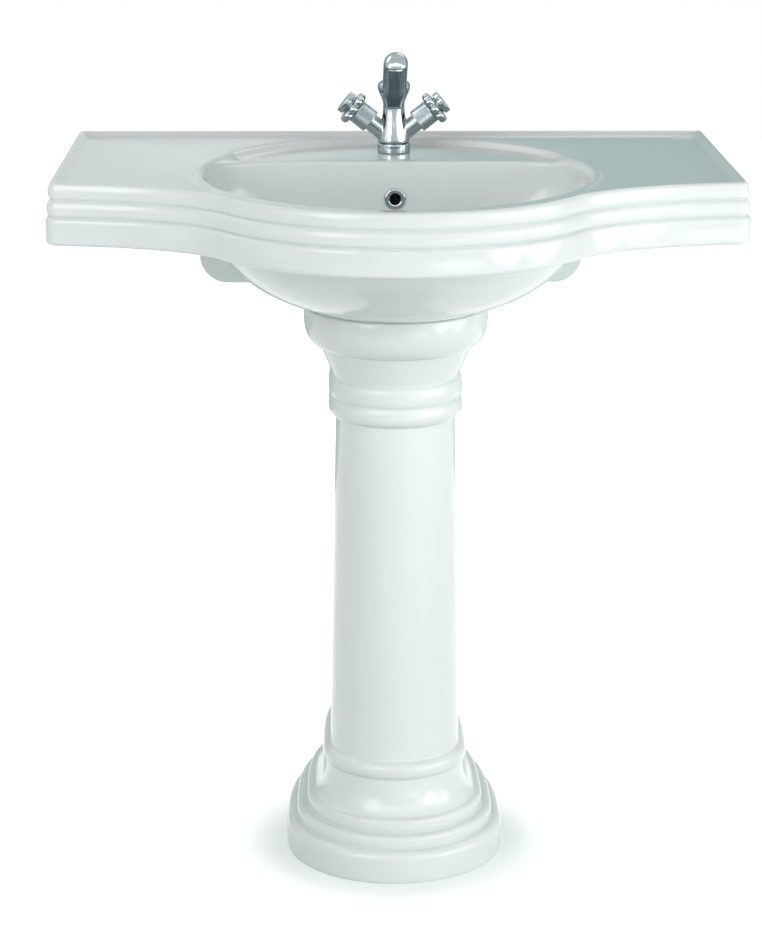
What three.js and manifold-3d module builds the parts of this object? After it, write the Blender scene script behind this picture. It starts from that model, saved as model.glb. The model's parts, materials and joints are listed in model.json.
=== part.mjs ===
// Floor-standing basin: a bow-fronted ceramic basin with a moulded apron, standing on a hollow
// turned pedestal, with a two-handled tap, a pop-up waste, a bottle trap and its pipe to the wall.
// Millimetres, +Z up. The front faces -Y and +X is on the viewer's right. The object is drawn about
// the pedestal's axis and is then moved so that the origin lies on the floor, at the centre of the
// box that the whole object fills.

import * as THREE from 'three';
import { mergeVertices } from 'three/addons/utils/BufferGeometryUtils.js';
import Module from 'manifold-3d';

const wasm = await Module();
wasm.setup();

const degree = Math.PI / 180;
const turn = 360 * degree;
const quarter = 90 * degree;

// Clearance between pieces that touch or are cut by each other, and the overrun of every cut
const gap = 0.3;
const overrun = 6;
const weld = 1e-3;

// Basin seen from above, measured from the pedestal's axis
const basinWidth = 814;
const wallReach = 265;
const bowReach = 348;
const bowRadius = 242;
const bowEndAngle = 56 * degree;
const wingReach = 152;
const wingSweepAngle = 7 * degree;
const sweepBowHandle = 50;
const sweepWingHandle = 110;
const frontCornerRadius = 15;
const backCornerRadius = 10;
const tightestCorner = 2;

// Levels of the basin above the floor
const rimHeight = 875.5;
const deckDrop = 5.5;
const ledgeDrop = 7.5;
const deckThickness = 15;
const bowlDepth = 157;
const bowlFloorWall = 12.7;
const wall = 14;

// Apron moulding, from the crown of the rim down: two rolls and a plain fascia
const crownInset = 8;
const backCrownInset = 5;
const rollHeight = 20;
const rollInset = 3.3;
const grooveInset = 7.5;
const secondRollHeight = 19.5;
const secondRollInset = 1.4;
const secondGrooveInset = 5.5;
const fasciaHeight = 33;
const fasciaRound = 5.5;
const apronWall = 13;

// Raised oval round the bowl and the tap ledge
const ovalHalfWidth = 236;
const frontBand = 24;
const backBand = 61;
const ovalSlope = 8;
const borderWidth = 14;
const bowlBand = 11;
const bowlBack = 58;
const bowlCornerPower = 14;
const bowlPower = 2.2;
const bowlEdgeRound = 4;
const ledgeSlope = 9;
const flatBand = 18;
const channelWidth = 50;
const pocketWidth = 40;

// Drain, its boss under the bowl and the foot that rests on the pedestal
const drainSetback = 20;
const drainClearance = 1.5;
const drainSeatDepth = 3;
const drainBossWall = 8;
const drainBossDepth = 24;
const footInset = 4;
const footWidth = 16;
const footRise = 3.5;
const footBack = 16;

// Overflow: the hole in the bowl's back wall and the duct behind it
const overflowDrop = 53.5;
const overflowHoleRadius = 9.2;
const ductHalfWidth = 24;
const ductWall = 8;
const ductDepth = 26;
const passageHeight = 9;

// Tap hole and the back panel with its two fixing holes
const tapOffset = 1;
const tapHoleRadius = 17.5;
const panelHalfWidth = 249;
const panelDrop = 197;
const panelThickness = 16;
const panelCornerRadius = 36;
const webReach = 150;
const fixingHoleRadius = 7;
const fixingSpacing = 280;
const fixingDrop = 105;

// Pedestal: heights of the parts of its turned profile, from the floor up, and how far each part
// stands out from the one that it joins. The column is wide enough for the trap, and as long as
// the rim's height leaves.
const plinthWidth = 13;
const plinthHeight = 40;
const plinthRound = 10;
const lowStepWidth = 13;
const lowStepHeight = 16;
const highStepWidth = 9;
const highStepHeight = 17;
const neckFlare = 16;
const neckWidth = 5;
const neckHeight = 45;
const anchorBeadWidth = 10;
const anchorBeadHeight = 21;
const columnTaper = 8;
const collarBeadWidth = 9;
const collarGrooveDepth = 4.5;
const lowerBeadHeight = 24;
const upperBeadHeight = 26;
const coneFootWidth = 3;
const coneFlare = 16;
const coneHeight = 38;
const capitalFootWidth = 3;
const capitalFlare = 17;
const capitalHeight = 48;
const stepRound = 5;
const trapClearance = 8.5;
const pedestalWall = 14;
const plinthWall = 17;
const neckWall = 18;
const capitalWall = 16;
const pedestalToWall = 90;
const pedestalRearRun = 40;
const pedestalRearPower = 3;

// Tap body, from the ledge up
const tapSealRadius = 19.4;
const tapSealThickness = 1;
const baseRingRadius = 20;
const baseRingHeight = 11;
const baseRingRound = 2;
const bodySpigotWall = 1;
const bodyFootRadius = 19.4;
const bodyWaistRadius = 13.2;
const bodyWaistHeight = 58;
const headRadius = 20.2;
const headHeight = 83;
const bodyHeight = 92;
const armHeight = 15;
const armAngle = 38.5 * degree;
const armWall = 2.1;
const armLength = 41;
const cartridgeBoreDepth = 18;

// Spout, fixed to the body: how far forward of the body's axis, and how high above the ledge
const spoutHalfWidth = 14.7;
const spoutRootWidth = 13.6;
const spoutRootTop = 86;
const spoutRootFoot = 58;
const spoutBendReach = 40;
const spoutBendTop = 116;
const spoutBendFoot = 82;
const noseReach = 92;
const noseTop = 135;
const noseLength = 18;
const mouthHeight = 114.5;
const lipHeight = 116;
const mouthReach = 95;
const aeratorRadius = 9.6;
const aeratorHeight = 9;
const aeratorWall = 1.6;

// Handles, measured along the arm from the body's axis
const barrelStart = 37;
const barrelLength = 22;
const barrelWall = 2.2;
const barrelClearance = 1;
const barrelFloor = 3;
const gripRadius = 21.3;
const gripThickness = 9;
const gripLobes = 8;
const turningClearance = 0.4;
const gripHubRadius = 11;
const gripHubLength = 3;
const capRadius = 14;
const capThickness = 7;
const handleScrewRadius = 2.4;
const handleScrewLength = 12;
const spindleRadius = 4;
const cartridgeRadius = 8.2;
const cartridgeCollarWidth = 0.7;
const cartridgeCollarThickness = 4;
const cartridgeNoseRadius = 7;

// Tap fixing under the ledge
const studRadius = 4;
const studLength = 74;
const inletRadius = 5;
const inletLength = 96;
const inletClearance = 0.8;
const inletHexWidth = 1.6;
const inletHexHeight = 10;
const clampRadius = 24;
const clampRubberThickness = 3;
const clampSteelThickness = 2.5;
const nutRadius = 7;
const nutHeight = 12;

// Waste: flange, seals, body, back nut, plug
const wasteFlangeRadius = 32.5;
const wasteFlangeThickness = 2.4;
const wasteTubeRadius = 21.5;
const wasteTubeWall = 3;
const wasteSealThickness = 1.5;
const wasteTailRadius = 15.8;
const wasteTailWall = 2;
const wasteTailLength = 88;
const wasteTubeLength = 62;
const backNutWidth = 9.5;
const backNutHeight = 11;
const plugRadius = 27;
const plugThickness = 4;
const plugLift = 5;
const plugStemRadius = 5;
const plugGuideRadius = 8;
const overflowRingRadius = 13;
const overflowRingThickness = 2.6;
const overflowBushLength = 9;

// Bottle trap inside the pedestal and the pipe to the wall
const trapNutWall = 4;
const trapNutHeight = 18;
const trapWasherThickness = 3;
const trapRadius = 28;
const trapWall = 2.6;
const outletClearance = 2.45;
const trapCupHeight = 58;
const trapSkirtWall = 2.5;
const trapSkirtHeight = 13;
const dipTubeWall = 1.6;
const dipTubeLength = 88;
const outletRadius = 16;
const outletWall = 1.6;
const outletNutWall = 2.8;
const outletNutLength = 20;
const wallFlangeRadius = 32;
const wallFlangeDepth = 11;

// Facets
const bowSteps = 9;
const sweepSteps = 6;
const cornerSteps = 3;
const sideSteps = 6;
const backSteps = 7;
const mouldingSteps = 6;
const hullSteps = 5;
const bowlShares = [0.35, 0.6, 0.77, 0.88, 0.945, 0.98, 1];
const spoutShares = [0, 0.2, 0.4, 0.6, 0.8, 1];
const noseShares = [0.35, 0.65, 0.87, 0.98];
const pedestalFrontSteps = 18;
const pedestalRearSteps = 4;
const roundFacets = 24;
const smallFacets = 16;
const lobeFacets = 4;

// Shares of a run or a rise at which a curve is drawn towards a point
const ovalRiseShares = [0.6, 0.8];
const crestReachShare = 0.6;
const crestRiseShare = 0.8;
const edgeFallShare = 0.4;
const capitalFaceShare = 0.7;
const hollowFlareShare = 0.7;
const bodySwellShare = 0.94;
const lowBendShare = 0.45;
const highBendShare = 0.6;
const spoutFootPower = 3;
const spoutSideShare = 0.3;
const lobeShare = 0.78;
const lobeArc = 200 * degree;
const cupFloorShare = 0.7;

// Radii and widths that follow from the pieces that fit together
const drainHoleRadius = wasteTubeRadius + drainClearance;
const drainSeatRadius = wasteFlangeRadius + drainClearance;
const drainBossRadius = drainSeatRadius + drainBossWall;
const backNutRadius = wasteTubeRadius + backNutWidth;
const wasteBoreRadius = wasteTubeRadius - wasteTubeWall;
const wasteTailBoreRadius = wasteTailRadius - wasteTailWall;
const trapNutRadius = wasteTailRadius + trapWall + 2 * gap + trapNutWall;
const outletNutRadius = outletRadius + outletWall + 2 * gap + outletNutWall;
const trapSkirtRadius = trapRadius + trapSkirtWall;
const cartridgeBoreRadius = cartridgeRadius + turningClearance;
const armRadius = cartridgeBoreRadius + armWall;
const cartridgeCollarRadius = armRadius + cartridgeCollarWidth;
const barrelBoreRadius = cartridgeCollarRadius + barrelClearance;
const barrelRadius = barrelBoreRadius + barrelWall;
const gripBoreRadius = spindleRadius + turningClearance;
const inletHexRadius = inletRadius + inletHexWidth;
const inletSpacing = 2 * inletHexRadius + inletClearance;
const bodySpigotRadius = inletSpacing + bodySpigotWall;

// Radii of the pedestal's profile, from the column out to the plinth and up to the capital
const columnTopRadius = drainSetback + trapSkirtRadius + trapClearance + pedestalWall;
const columnFootRadius = columnTopRadius + columnTaper;
const anchorBeadRadius = columnFootRadius + anchorBeadWidth;
const neckRadius = columnFootRadius + neckWidth;
const neckFootRadius = neckRadius + neckFlare;
const highStepRadius = neckFootRadius + highStepWidth;
const lowStepRadius = highStepRadius + lowStepWidth;
const plinthRadius = lowStepRadius + plinthWidth;
const collarBeadRadius = columnTopRadius + collarBeadWidth;
const collarGrooveRadius = collarBeadRadius - collarGrooveDepth;
const coneFootRadius = columnTopRadius + coneFootWidth;
const coneTopRadius = coneFootRadius + coneFlare;
const capitalFootRadius = coneTopRadius + capitalFootWidth;
const capitalRadius = capitalFootRadius + capitalFlare;
const footRadius = capitalRadius - footInset;

// Places that follow the wall
const ovalBack = wallReach - backBand;
const ovalHalfDepth = (bowReach - frontBand + ovalBack) / 2;
const ovalSetback = ovalHalfDepth - ovalBack;
const tapSetback = (bowlBack + ovalBack) / 2 + tapOffset;
const pedestalBack = wallReach - pedestalToWall;
const pedestalRearDepth = pedestalBack + pedestalRearRun;

// Levels that several pieces share
const apronDrop = rollHeight + secondRollHeight + fasciaHeight;
const deckLevel = rimHeight - deckDrop;
const ledgeLevel = rimHeight - ledgeDrop;
const deckUnderside = deckLevel - deckThickness;
const floorLevel = rimHeight - bowlDepth;
const recessLevel = floorLevel - bowlFloorWall;
const footLevel = recessLevel - footRise;
const bossLevel = floorLevel - drainBossDepth;
const bodyFoot = tapSealThickness + baseRingHeight + 3 * gap;

const mix = (a, b, t) => a + (b - a) * t;

function smoothStep(value, low, high) {
  const t = THREE.MathUtils.clamp((value - low) / (high - low), 0, 1);
  return t * t * (3 - 2 * t);
}

// Solids and meshes

// Welds a geometry's corners, drops the slivers on an axis and turns its faces outwards.
function solidOf(geometry) {
  const bare = new THREE.BufferGeometry();
  bare.setAttribute('position', geometry.getAttribute('position'));
  bare.setIndex(geometry.getIndex());
  const merged = mergeVertices(bare, weld);
  const places = merged.getAttribute('position');
  const corners = merged.getIndex().array;
  const kept = [];
  let volume = 0;
  for (let i = 0; i < corners.length; i += 3) {
    const [a, b, c] = corners.subarray(i, i + 3);
    if (a === b || b === c || c === a) {
      continue;
    }
    kept.push([a, b, c]);
    const [p, q, r] = [a, b, c].map((n) => new THREE.Vector3().fromBufferAttribute(places, n));
    volume += p.dot(q.cross(r));
  }
  const facing = kept.map(([a, b, c]) => (volume < 0 ? [a, c, b] : [a, b, c]));
  return new wasm.Manifold(new wasm.Mesh({
    numProp: 3,
    vertProperties: new Float32Array(places.array),
    triVerts: new Uint32Array(facing.flat()),
  }));
}

// Joins rings of [x, y, z] points, each with as many points as the next. The rings close on each
// other, or the first and last ones are filled by pairing their points from both ends.
function loft(rings, closed) {
  const count = rings[0].length;
  const index = [];
  const last = closed ? rings.length : rings.length - 1;
  for (let k = 0; k < last; k++) {
    const near = k * count;
    const far = ((k + 1) % rings.length) * count;
    for (let i = 0; i < count; i++) {
      const j = (i + 1) % count;
      index.push(near + i, far + i, far + j, near + i, far + j, near + j);
    }
  }
  if (!closed) {
    for (let i = 0; i + 1 < count - 1 - i; i++) {
      const j = count - 1 - i;
      const end = (rings.length - 1) * count;
      index.push(i, i + 1, j, i + 1, j - 1, j);
      index.push(end + i, end + j, end + i + 1, end + i + 1, end + j, end + j - 1);
    }
  }
  const geometry = new THREE.BufferGeometry();
  geometry.setAttribute('position', new THREE.Float32BufferAttribute(rings.flat(2), 3));
  geometry.setIndex(index);
  return solidOf(geometry);
}

// Carries a closed section of [radius, height] points past each place of a path; the section is
// filled in at both ends.
function carried(section, path) {
  const count = section.length;
  const faces = THREE.ShapeUtils.triangulateShape(section.map(([r, z]) => new THREE.Vector2(r, z)), []);
  const index = [];
  const end = (path.length - 1) * count;
  for (let k = 0; k < path.length - 1; k++) {
    for (let i = 0; i < count; i++) {
      const a = k * count + i;
      const b = k * count + (i + 1) % count;
      index.push(a, a + count, b + count, a, b + count, b);
    }
  }
  for (const [a, b, c] of faces) {
    index.push(a, b, c, end + a, end + c, end + b);
  }
  const places = path.flatMap((place) => section.flatMap(([r, z]) => [...place(r), z]));
  const geometry = new THREE.BufferGeometry();
  geometry.setAttribute('position', new THREE.Float32BufferAttribute(places, 3));
  geometry.setIndex(index);
  return solidOf(geometry);
}

// Turns a profile of [radius, height] points about the Z axis.
function turned(profile, facets = roundFacets) {
  const points = profile.map(([r, z]) => new THREE.Vector2(r, z));
  const geometry = new THREE.LatheGeometry(points, facets);
  geometry.rotateX(quarter);
  return solidOf(geometry);
}

// A closed profile for a tube or a collar, from its inner and outer radii and its two ends
function collar(inner, outer, bottom, top) {
  return [[inner, bottom], [outer, bottom], [outer, top], [inner, top], [inner, bottom]];
}

function rod(radius, bottom, top, facets = smallFacets) {
  return turned([[0, bottom], [radius, bottom], [radius, top], [0, top]], facets);
}

// Pushes an outline of [x, y] points up from one level to another.
function raised(outline, bottom, top) {
  const shape = new THREE.Shape(outline.map(([x, y]) => new THREE.Vector2(x, y)));
  const geometry = new THREE.ExtrudeGeometry(shape, { depth: top - bottom, bevelEnabled: false });
  geometry.translate(0, 0, bottom);
  return solidOf(geometry);
}

// The same, across the object: the outline's [y, z] points run from one x to another.
function crosswise(outline, left, right) {
  const shape = new THREE.Shape(outline.map(([y, z]) => new THREE.Vector2(y, z)));
  const geometry = new THREE.ExtrudeGeometry(shape, { depth: right - left, bevelEnabled: false });
  geometry.rotateX(quarter);
  geometry.rotateZ(quarter);
  geometry.translate(left, 0, 0);
  return solidOf(geometry);
}

function rectangle(x0, y0, x1, y1) {
  return [[x0, y0], [x1, y0], [x1, y1], [x0, y1]];
}

function hexagon(radius) {
  const corners = [0, 1, 2, 3, 4, 5].map((k) => k * turn / 6);
  return corners.map((a) => [radius * Math.cos(a), radius * Math.sin(a)]);
}

function moved(solid, x, y, z) {
  return solid.translate([x, y, z]);
}

// Lays a solid that stands on Z along the Y axis, pointing to the back.
function laidBack(solid) {
  return solid.rotate([-quarter / degree, 0, 0]);
}

function piece(name, solid, material) {
  const { vertProperties, triVerts } = solid.getMesh();
  const indexed = new THREE.BufferGeometry();
  indexed.setAttribute('position', new THREE.BufferAttribute(vertProperties, 3));
  indexed.setIndex(new THREE.BufferAttribute(triVerts, 1));
  const geometry = indexed.toNonIndexed();
  geometry.computeVertexNormals();
  const mesh = new THREE.Mesh(geometry, material);
  mesh.name = name;
  return mesh;
}

// Materials

function ceramic() {
  return new THREE.MeshStandardMaterial({ color: 0xe4ebe9, roughness: 0.12, metalness: 0 });
}

function chrome() {
  return new THREE.MeshStandardMaterial({ color: 0xc6ced0, roughness: 0.1, metalness: 1 });
}

function brass() {
  return new THREE.MeshStandardMaterial({ color: 0xb59a58, roughness: 0.35, metalness: 1 });
}

function steel() {
  return new THREE.MeshStandardMaterial({ color: 0xa9adae, roughness: 0.4, metalness: 1 });
}

function rubber() {
  return new THREE.MeshStandardMaterial({ color: 0x26282a, roughness: 0.85, metalness: 0 });
}

function plastic() {
  return new THREE.MeshStandardMaterial({ color: 0xd9dad6, roughness: 0.5, metalness: 0 });
}

// Basin

// Half of the outline seen from above, from the middle of the front round to the middle of the
// back: the bow's arc, the sweep out to the wing, the wing's corner, the side and the back.
function halfOutline(inset, backInset) {
  const points = [];
  const bow = bowRadius - inset;
  const bowCentre = bowRadius - bowReach;
  const onBow = (a) => [bow * Math.sin(a), bowCentre - bow * Math.cos(a)];
  for (let k = 0; k < bowSteps; k++) {
    points.push(onBow(bowEndAngle * k / bowSteps));
  }
  const corner = Math.max(frontCornerRadius - inset, tightestCorner);
  const cornerX = basinWidth / 2 - inset - corner;
  const cornerY = inset + corner - wingReach;
  const onCorner = (a) => [cornerX + corner * Math.cos(a), cornerY + corner * Math.sin(a)];
  const start = new THREE.Vector2(...onBow(bowEndAngle));
  const end = new THREE.Vector2(...onCorner(wingSweepAngle - quarter));
  const leaving = new THREE.Vector2(Math.cos(bowEndAngle), Math.sin(bowEndAngle));
  const arriving = new THREE.Vector2(Math.cos(wingSweepAngle), Math.sin(wingSweepAngle));
  const sweep = new THREE.CubicBezierCurve(
    start,
    start.clone().addScaledVector(leaving, sweepBowHandle),
    end.clone().addScaledVector(arriving, -sweepWingHandle),
    end,
  );
  for (let k = 0; k < sweepSteps; k++) {
    points.push(sweep.getPoint(k / sweepSteps).toArray());
  }
  for (let k = 0; k < cornerSteps; k++) {
    points.push(onCorner((wingSweepAngle - quarter) * (1 - k / cornerSteps)));
  }
  const backCorner = Math.max(backCornerRadius - inset, tightestCorner);
  const backX = basinWidth / 2 - inset - backCorner;
  const backY = wallReach - backInset - backCorner;
  for (let k = 0; k < sideSteps; k++) {
    points.push([basinWidth / 2 - inset, mix(cornerY, backY, k / sideSteps)]);
  }
  for (let k = 0; k < cornerSteps; k++) {
    const a = quarter * k / cornerSteps;
    points.push([backX + backCorner * Math.cos(a), backY + backCorner * Math.sin(a)]);
  }
  for (let k = 0; k <= backSteps; k++) {
    points.push([backX * (1 - k / backSteps), wallReach - backInset]);
  }
  return points;
}

function outline(inset, backInset) {
  const half = halfOutline(inset, backInset);
  const mirrored = half.slice(1, -1).reverse().map(([x, y]) => [-x, y]);
  return [...half, ...mirrored];
}

// One convex moulding: out from the inset it starts at to the one it reaches, and back to the
// groove below, as it falls from one drop to another.
function moulding(from, proud, to, top, bottom, firstStep, lastStep) {
  const points = [];
  for (let k = firstStep; k <= lastStep; k++) {
    const a = quarter * 2 * k / mouldingSteps;
    const side = a < quarter ? from : to;
    points.push([mix(side, proud, Math.sin(a)), mix(top, bottom, (1 - Math.cos(a)) / 2)]);
  }
  return points;
}

// The apron's profile as [inset, drop below the crown], from the crown to its inner bottom edge
function apronProfile() {
  const secondTop = rollHeight;
  const fasciaTop = rollHeight + secondRollHeight;
  const halfWay = mouldingSteps / 2;
  return [
    ...moulding(crownInset, rollInset, grooveInset, 0, rollHeight, 0, mouldingSteps),
    ...moulding(grooveInset, secondRollInset, secondGrooveInset, secondTop, fasciaTop, 1, mouldingSteps),
    ...moulding(secondGrooveInset, 0, 0, fasciaTop, fasciaTop + 2 * fasciaRound, 1, halfWay),
    ...moulding(0, 0, fasciaRound, apronDrop - 2 * fasciaRound, apronDrop, halfWay, mouldingSteps),
  ];
}

// How far from the oval's centre the raised oval runs, in the direction of an angle
function ovalRadius(angle) {
  return 1 / Math.hypot(Math.cos(angle) / ovalHalfWidth, Math.sin(angle) / ovalHalfDepth);
}

// The bowl's edge: it follows the oval at the front and sides, and runs straight across in front
// of the tap ledge, with a rounded corner where the two meet.
function bowlRadius(angle) {
  const side = ovalRadius(angle) - bowlBand;
  const rise = Math.sin(angle);
  if (rise <= 0) {
    return side;
  }
  const back = (bowlBack + ovalSetback) / rise;
  const p = bowlCornerPower;
  return (side ** -p + back ** -p) ** (-1 / p);
}

// Share of its height that the bowl has at a share of the way from the drain to its edge: a flat
// floor that curves up into a steep wall
function bowlRise(share) {
  return 1 - Math.sqrt(1 - share ** bowlPower);
}

function bowlRun(rise) {
  return (1 - (1 - rise) ** 2) ** (1 / bowlPower);
}

// Everything that the basin's nested rings need along each spoke from the oval's centre
function basinSpokes() {
  const outer = outline(0, 0);
  const crown = outline(crownInset, backCrownInset);
  return outer.map(([x, y], i) => {
    const angle = Math.atan2(y + ovalSetback, x);
    const oval = ovalRadius(angle);
    const bowl = bowlRadius(angle);
    const room = Math.hypot(crown[i][0], crown[i][1] + ovalSetback) - oval;
    const edge = [bowl * Math.cos(angle), bowl * Math.sin(angle) - ovalSetback];
    const drainAngle = Math.atan2(edge[1] + drainSetback, edge[0]);
    const edgeReach = Math.hypot(edge[0], edge[1] + drainSetback);
    return {
      angle,
      oval,
      bowl,
      room,
      drainAngle,
      edgeReach,
      deck: smoothStep(room, flatBand, channelWidth),
      under: smoothStep(room, flatBand, pocketWidth),
      ledge: smoothStep(oval - bowl, bowlBand, bowlBand + ovalSetback / 2),
    };
  });
}

// The basin's skin, as rings from the drain out over the rim, down the apron and back underneath
function basinRings() {
  const spokes = basinSpokes();
  const rings = [];
  const polar = (r, angle, setback, z) => [r * Math.cos(angle), r * Math.sin(angle) - setback, z];
  const fromOval = (radius, spoke, z) => polar(radius, spoke.angle, ovalSetback, z);
  const fromDrain = (radius, spoke, z) => polar(radius, spoke.drainAngle, drainSetback, z);
  const ring = (place) => rings.push(spokes.map(place));

  // the bowl, from inside the drain hole outwards
  const seatEdge = drainSeatRadius + drainSeatDepth;
  const edgeLevel = ledgeLevel - bowlEdgeRound;
  ring((s) => fromDrain(drainHoleRadius - overrun, s, floorLevel));
  ring((s) => fromDrain(seatEdge, s, floorLevel));
  for (const share of bowlShares) {
    const z = mix(floorLevel, edgeLevel, bowlRise(share));
    ring((s) => fromDrain(mix(seatEdge, s.edgeReach, share), s, z));
  }

  // bowl edge, tap ledge, raised oval and the sunken deck outside it
  const ovalTop = rimHeight - gap;
  const slopeAt = (s) => Math.min(ovalSlope, s.room / 3);
  const deckAt = (s) => mix(rimHeight, deckLevel, s.deck);
  const shoulder = (s) => mix(ovalTop, ledgeLevel, s.ledge);
  const innerFoot = (s) => Math.max(s.oval - ledgeSlope, s.bowl + bowlEdgeRound * 3 / 2);
  const risen = (s, share) => mix(mix(edgeLevel, ovalTop, share), ledgeLevel, s.ledge);
  ring((s) => fromOval(s.bowl + bowlEdgeRound, s, risen(s, ovalRiseShares[0])));
  ring((s) => fromOval(innerFoot(s), s, risen(s, ovalRiseShares[1])));
  const crest = (s) => mix(shoulder(s), ovalTop, crestRiseShare);
  ring((s) => fromOval(mix(innerFoot(s), s.oval, crestReachShare), s, crest(s)));
  ring((s) => fromOval(s.oval, s, rimHeight));
  ring((s) => fromOval(s.oval + slopeAt(s) / 2, s, mix(rimHeight, deckAt(s), edgeFallShare)));
  ring((s) => fromOval(s.oval + slopeAt(s), s, deckAt(s)));
  const crown = outline(crownInset, backCrownInset);
  const borderFoot = outline(crownInset + borderWidth, backCrownInset + borderWidth);
  const border = (share, drop) => rings.push(spokes.map((s, i) => [
    mix(crown[i][0], borderFoot[i][0], s.deck * share),
    mix(crown[i][1], borderFoot[i][1], s.deck * share),
    mix(rimHeight, deckAt(s), drop),
  ]));
  border(1, 1);
  border(1 / 2, edgeFallShare);

  // apron: its moulding dies into the flat back
  for (const [inset, drop] of apronProfile()) {
    const backInset = backCrownInset * Math.max(0, 1 - drop / backCrownInset);
    rings.push(outline(inset, backInset).map(([x, y]) => [x, y, rimHeight - drop]));
  }

  // underside: inner face of the apron, deck, hull and foot
  const apronFoot = rimHeight - apronDrop;
  const undersideAt = (s) => mix(apronFoot + gap, deckUnderside, s.under);
  rings.push(outline(apronWall, panelThickness).map(([x, y]) => [x, y, apronFoot]));
  const innerEdge = outline(apronWall + gap, panelThickness + gap);
  rings.push(innerEdge.map(([x, y], i) => [x, y, undersideAt(spokes[i])]));
  const hullReach = (s, share) => mix(seatEdge, s.edgeReach + wall, share);
  for (let k = 0; k <= hullSteps; k++) {
    ring((s) => {
      const top = bowlRun((undersideAt(s) - recessLevel) / (ledgeLevel - recessLevel));
      const share = top * (1 - k / hullSteps);
      return fromDrain(hullReach(s, share), s, mix(recessLevel, ledgeLevel, bowlRise(share)));
    });
  }
  ring((s) => fromDrain(drainHoleRadius - overrun, s, recessLevel));
  return rings;
}

// The panel that hangs down behind the bowl against the wall, with rounded lower corners, and the
// two webs that brace it forward to the hull
function backPanel() {
  const low = rimHeight - panelDrop;
  const top = deckUnderside + deckThickness / 2;
  const points = [[-panelHalfWidth, top]];
  for (const side of [-1, 1]) {
    for (let k = 0; k <= cornerSteps * 2; k++) {
      const a = side < 0 ? quarter * k / (cornerSteps * 2) : quarter * (1 - k / (cornerSteps * 2));
      const x = side * (panelHalfWidth - panelCornerRadius * (1 - Math.cos(a)));
      points.push([x, low + panelCornerRadius * (1 - Math.sin(a))]);
    }
  }
  points.push([panelHalfWidth, top]);
  const panel = raised(points, 0, panelThickness).rotate([quarter / degree, 0, 0]);
  const webFoot = low + panelCornerRadius;
  const inside = wallReach - panelThickness / 2;
  const curve = new THREE.QuadraticBezierCurve(
    new THREE.Vector2(inside, webFoot),
    new THREE.Vector2(inside - webReach / 3, deckUnderside - webReach / 4),
    new THREE.Vector2(wallReach - webReach, deckUnderside),
  );
  const brace = curve.getPoints(cornerSteps * 2).map((p) => p.toArray());
  const side = [...brace, [wallReach - webReach, top], [inside, top]];
  const web = crosswise(side, panelHalfWidth - apronWall, panelHalfWidth);
  return moved(panel, 0, wallReach, 0).add(web).add(web.mirror([1, 0, 0]));
}

// The duct behind the bowl that takes the overflow down to the drain, and the passage in it
function overflowDuct() {
  const back = bowlBack + ductDepth;
  const top = rimHeight - overflowDrop + overflowHoleRadius + ductWall * 2;
  const inFloor = (floorLevel + recessLevel) / 2;
  return crosswise([
    [-drainSetback, bossLevel], [back, bossLevel], [back, top], [bowlBack + ductWall, top],
    [bowlBack - footRise, floorLevel + ductDepth], [bowlBack - ductDepth, inFloor],
    [-drainSetback, inFloor],
  ], -ductHalfWidth, ductHalfWidth);
}

function overflowPassage() {
  const back = bowlBack + ductDepth - ductWall;
  const low = bossLevel + ductWall;
  const high = rimHeight - overflowDrop + overflowHoleRadius;
  const front = bowlBack + ductWall;
  const half = ductHalfWidth - ductWall;
  return crosswise([
    [-drainSetback, low], [back, low], [back, high], [front, high], [front, low + passageHeight],
    [-drainSetback, low + passageHeight],
  ], -half, half);
}

function basin() {
  const fixingLevel = rimHeight - fixingDrop;
  const overflowLevel = rimHeight - overflowDrop;
  const tapHole = rod(tapHoleRadius, deckUnderside - overrun, ledgeLevel + overrun, roundFacets);
  const overflowHole = laidBack(rod(overflowHoleRadius, 0, wall + ductWall * 3 / 2));
  const fixing = laidBack(rod(fixingHoleRadius, wallReach - panelThickness - overrun, wallReach + overrun));
  const inHull = floorLevel - 4 * gap;
  const clear = footRadius + overrun;
  const behind = raised(rectangle(-clear, footBack, clear, clear), 0, rimHeight);
  const foot = turned(collar(footRadius - footWidth, footRadius, footLevel, inHull), 2 * pedestalFrontSteps)
    .subtract(behind);
  const boss = rod(drainBossRadius, bossLevel, inHull, roundFacets);
  const drain = rod(drainHoleRadius, bossLevel - overrun, floorLevel + overrun, roundFacets)
    .add(rod(drainSeatRadius, floorLevel - drainSeatDepth, floorLevel + overrun, roundFacets));
  let body = loft(basinRings(), true).add(backPanel()).add(overflowDuct()).add(foot);
  body = body.add(moved(boss, 0, -drainSetback, 0)).subtract(moved(drain, 0, -drainSetback, 0));
  body = body.subtract(overflowPassage()).subtract(moved(overflowHole, 0, bowlBack - wall, overflowLevel));
  body = body.subtract(moved(tapHole, 0, tapSetback, 0));
  for (const side of [-1, 1]) {
    body = body.subtract(moved(fixing, side * fixingSpacing / 2, 0, fixingLevel));
  }
  return piece('basin', body, ceramic());
}

// Pedestal

// A quarter-round step between two radii as [radius, height], and a bead standing out of a shaft
function roundedStep(radius, bottom, top, inner, round = stepRound) {
  const steps = 3;
  const points = [[radius, bottom]];
  for (let k = 0; k <= steps; k++) {
    const a = quarter * k / steps;
    points.push([radius - round * (1 - Math.cos(a)), top - round * (1 - Math.sin(a))]);
  }
  points.push([inner, top]);
  return points;
}

function bead(from, proud, to, bottom, top) {
  const steps = 6;
  const points = [];
  for (let k = 0; k <= steps; k++) {
    const a = quarter * 2 * k / steps;
    const side = a < quarter ? from : to;
    points.push([mix(side, proud, Math.sin(a)), mix(bottom, top, (1 - Math.cos(a)) / 2)]);
  }
  return points;
}

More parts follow.
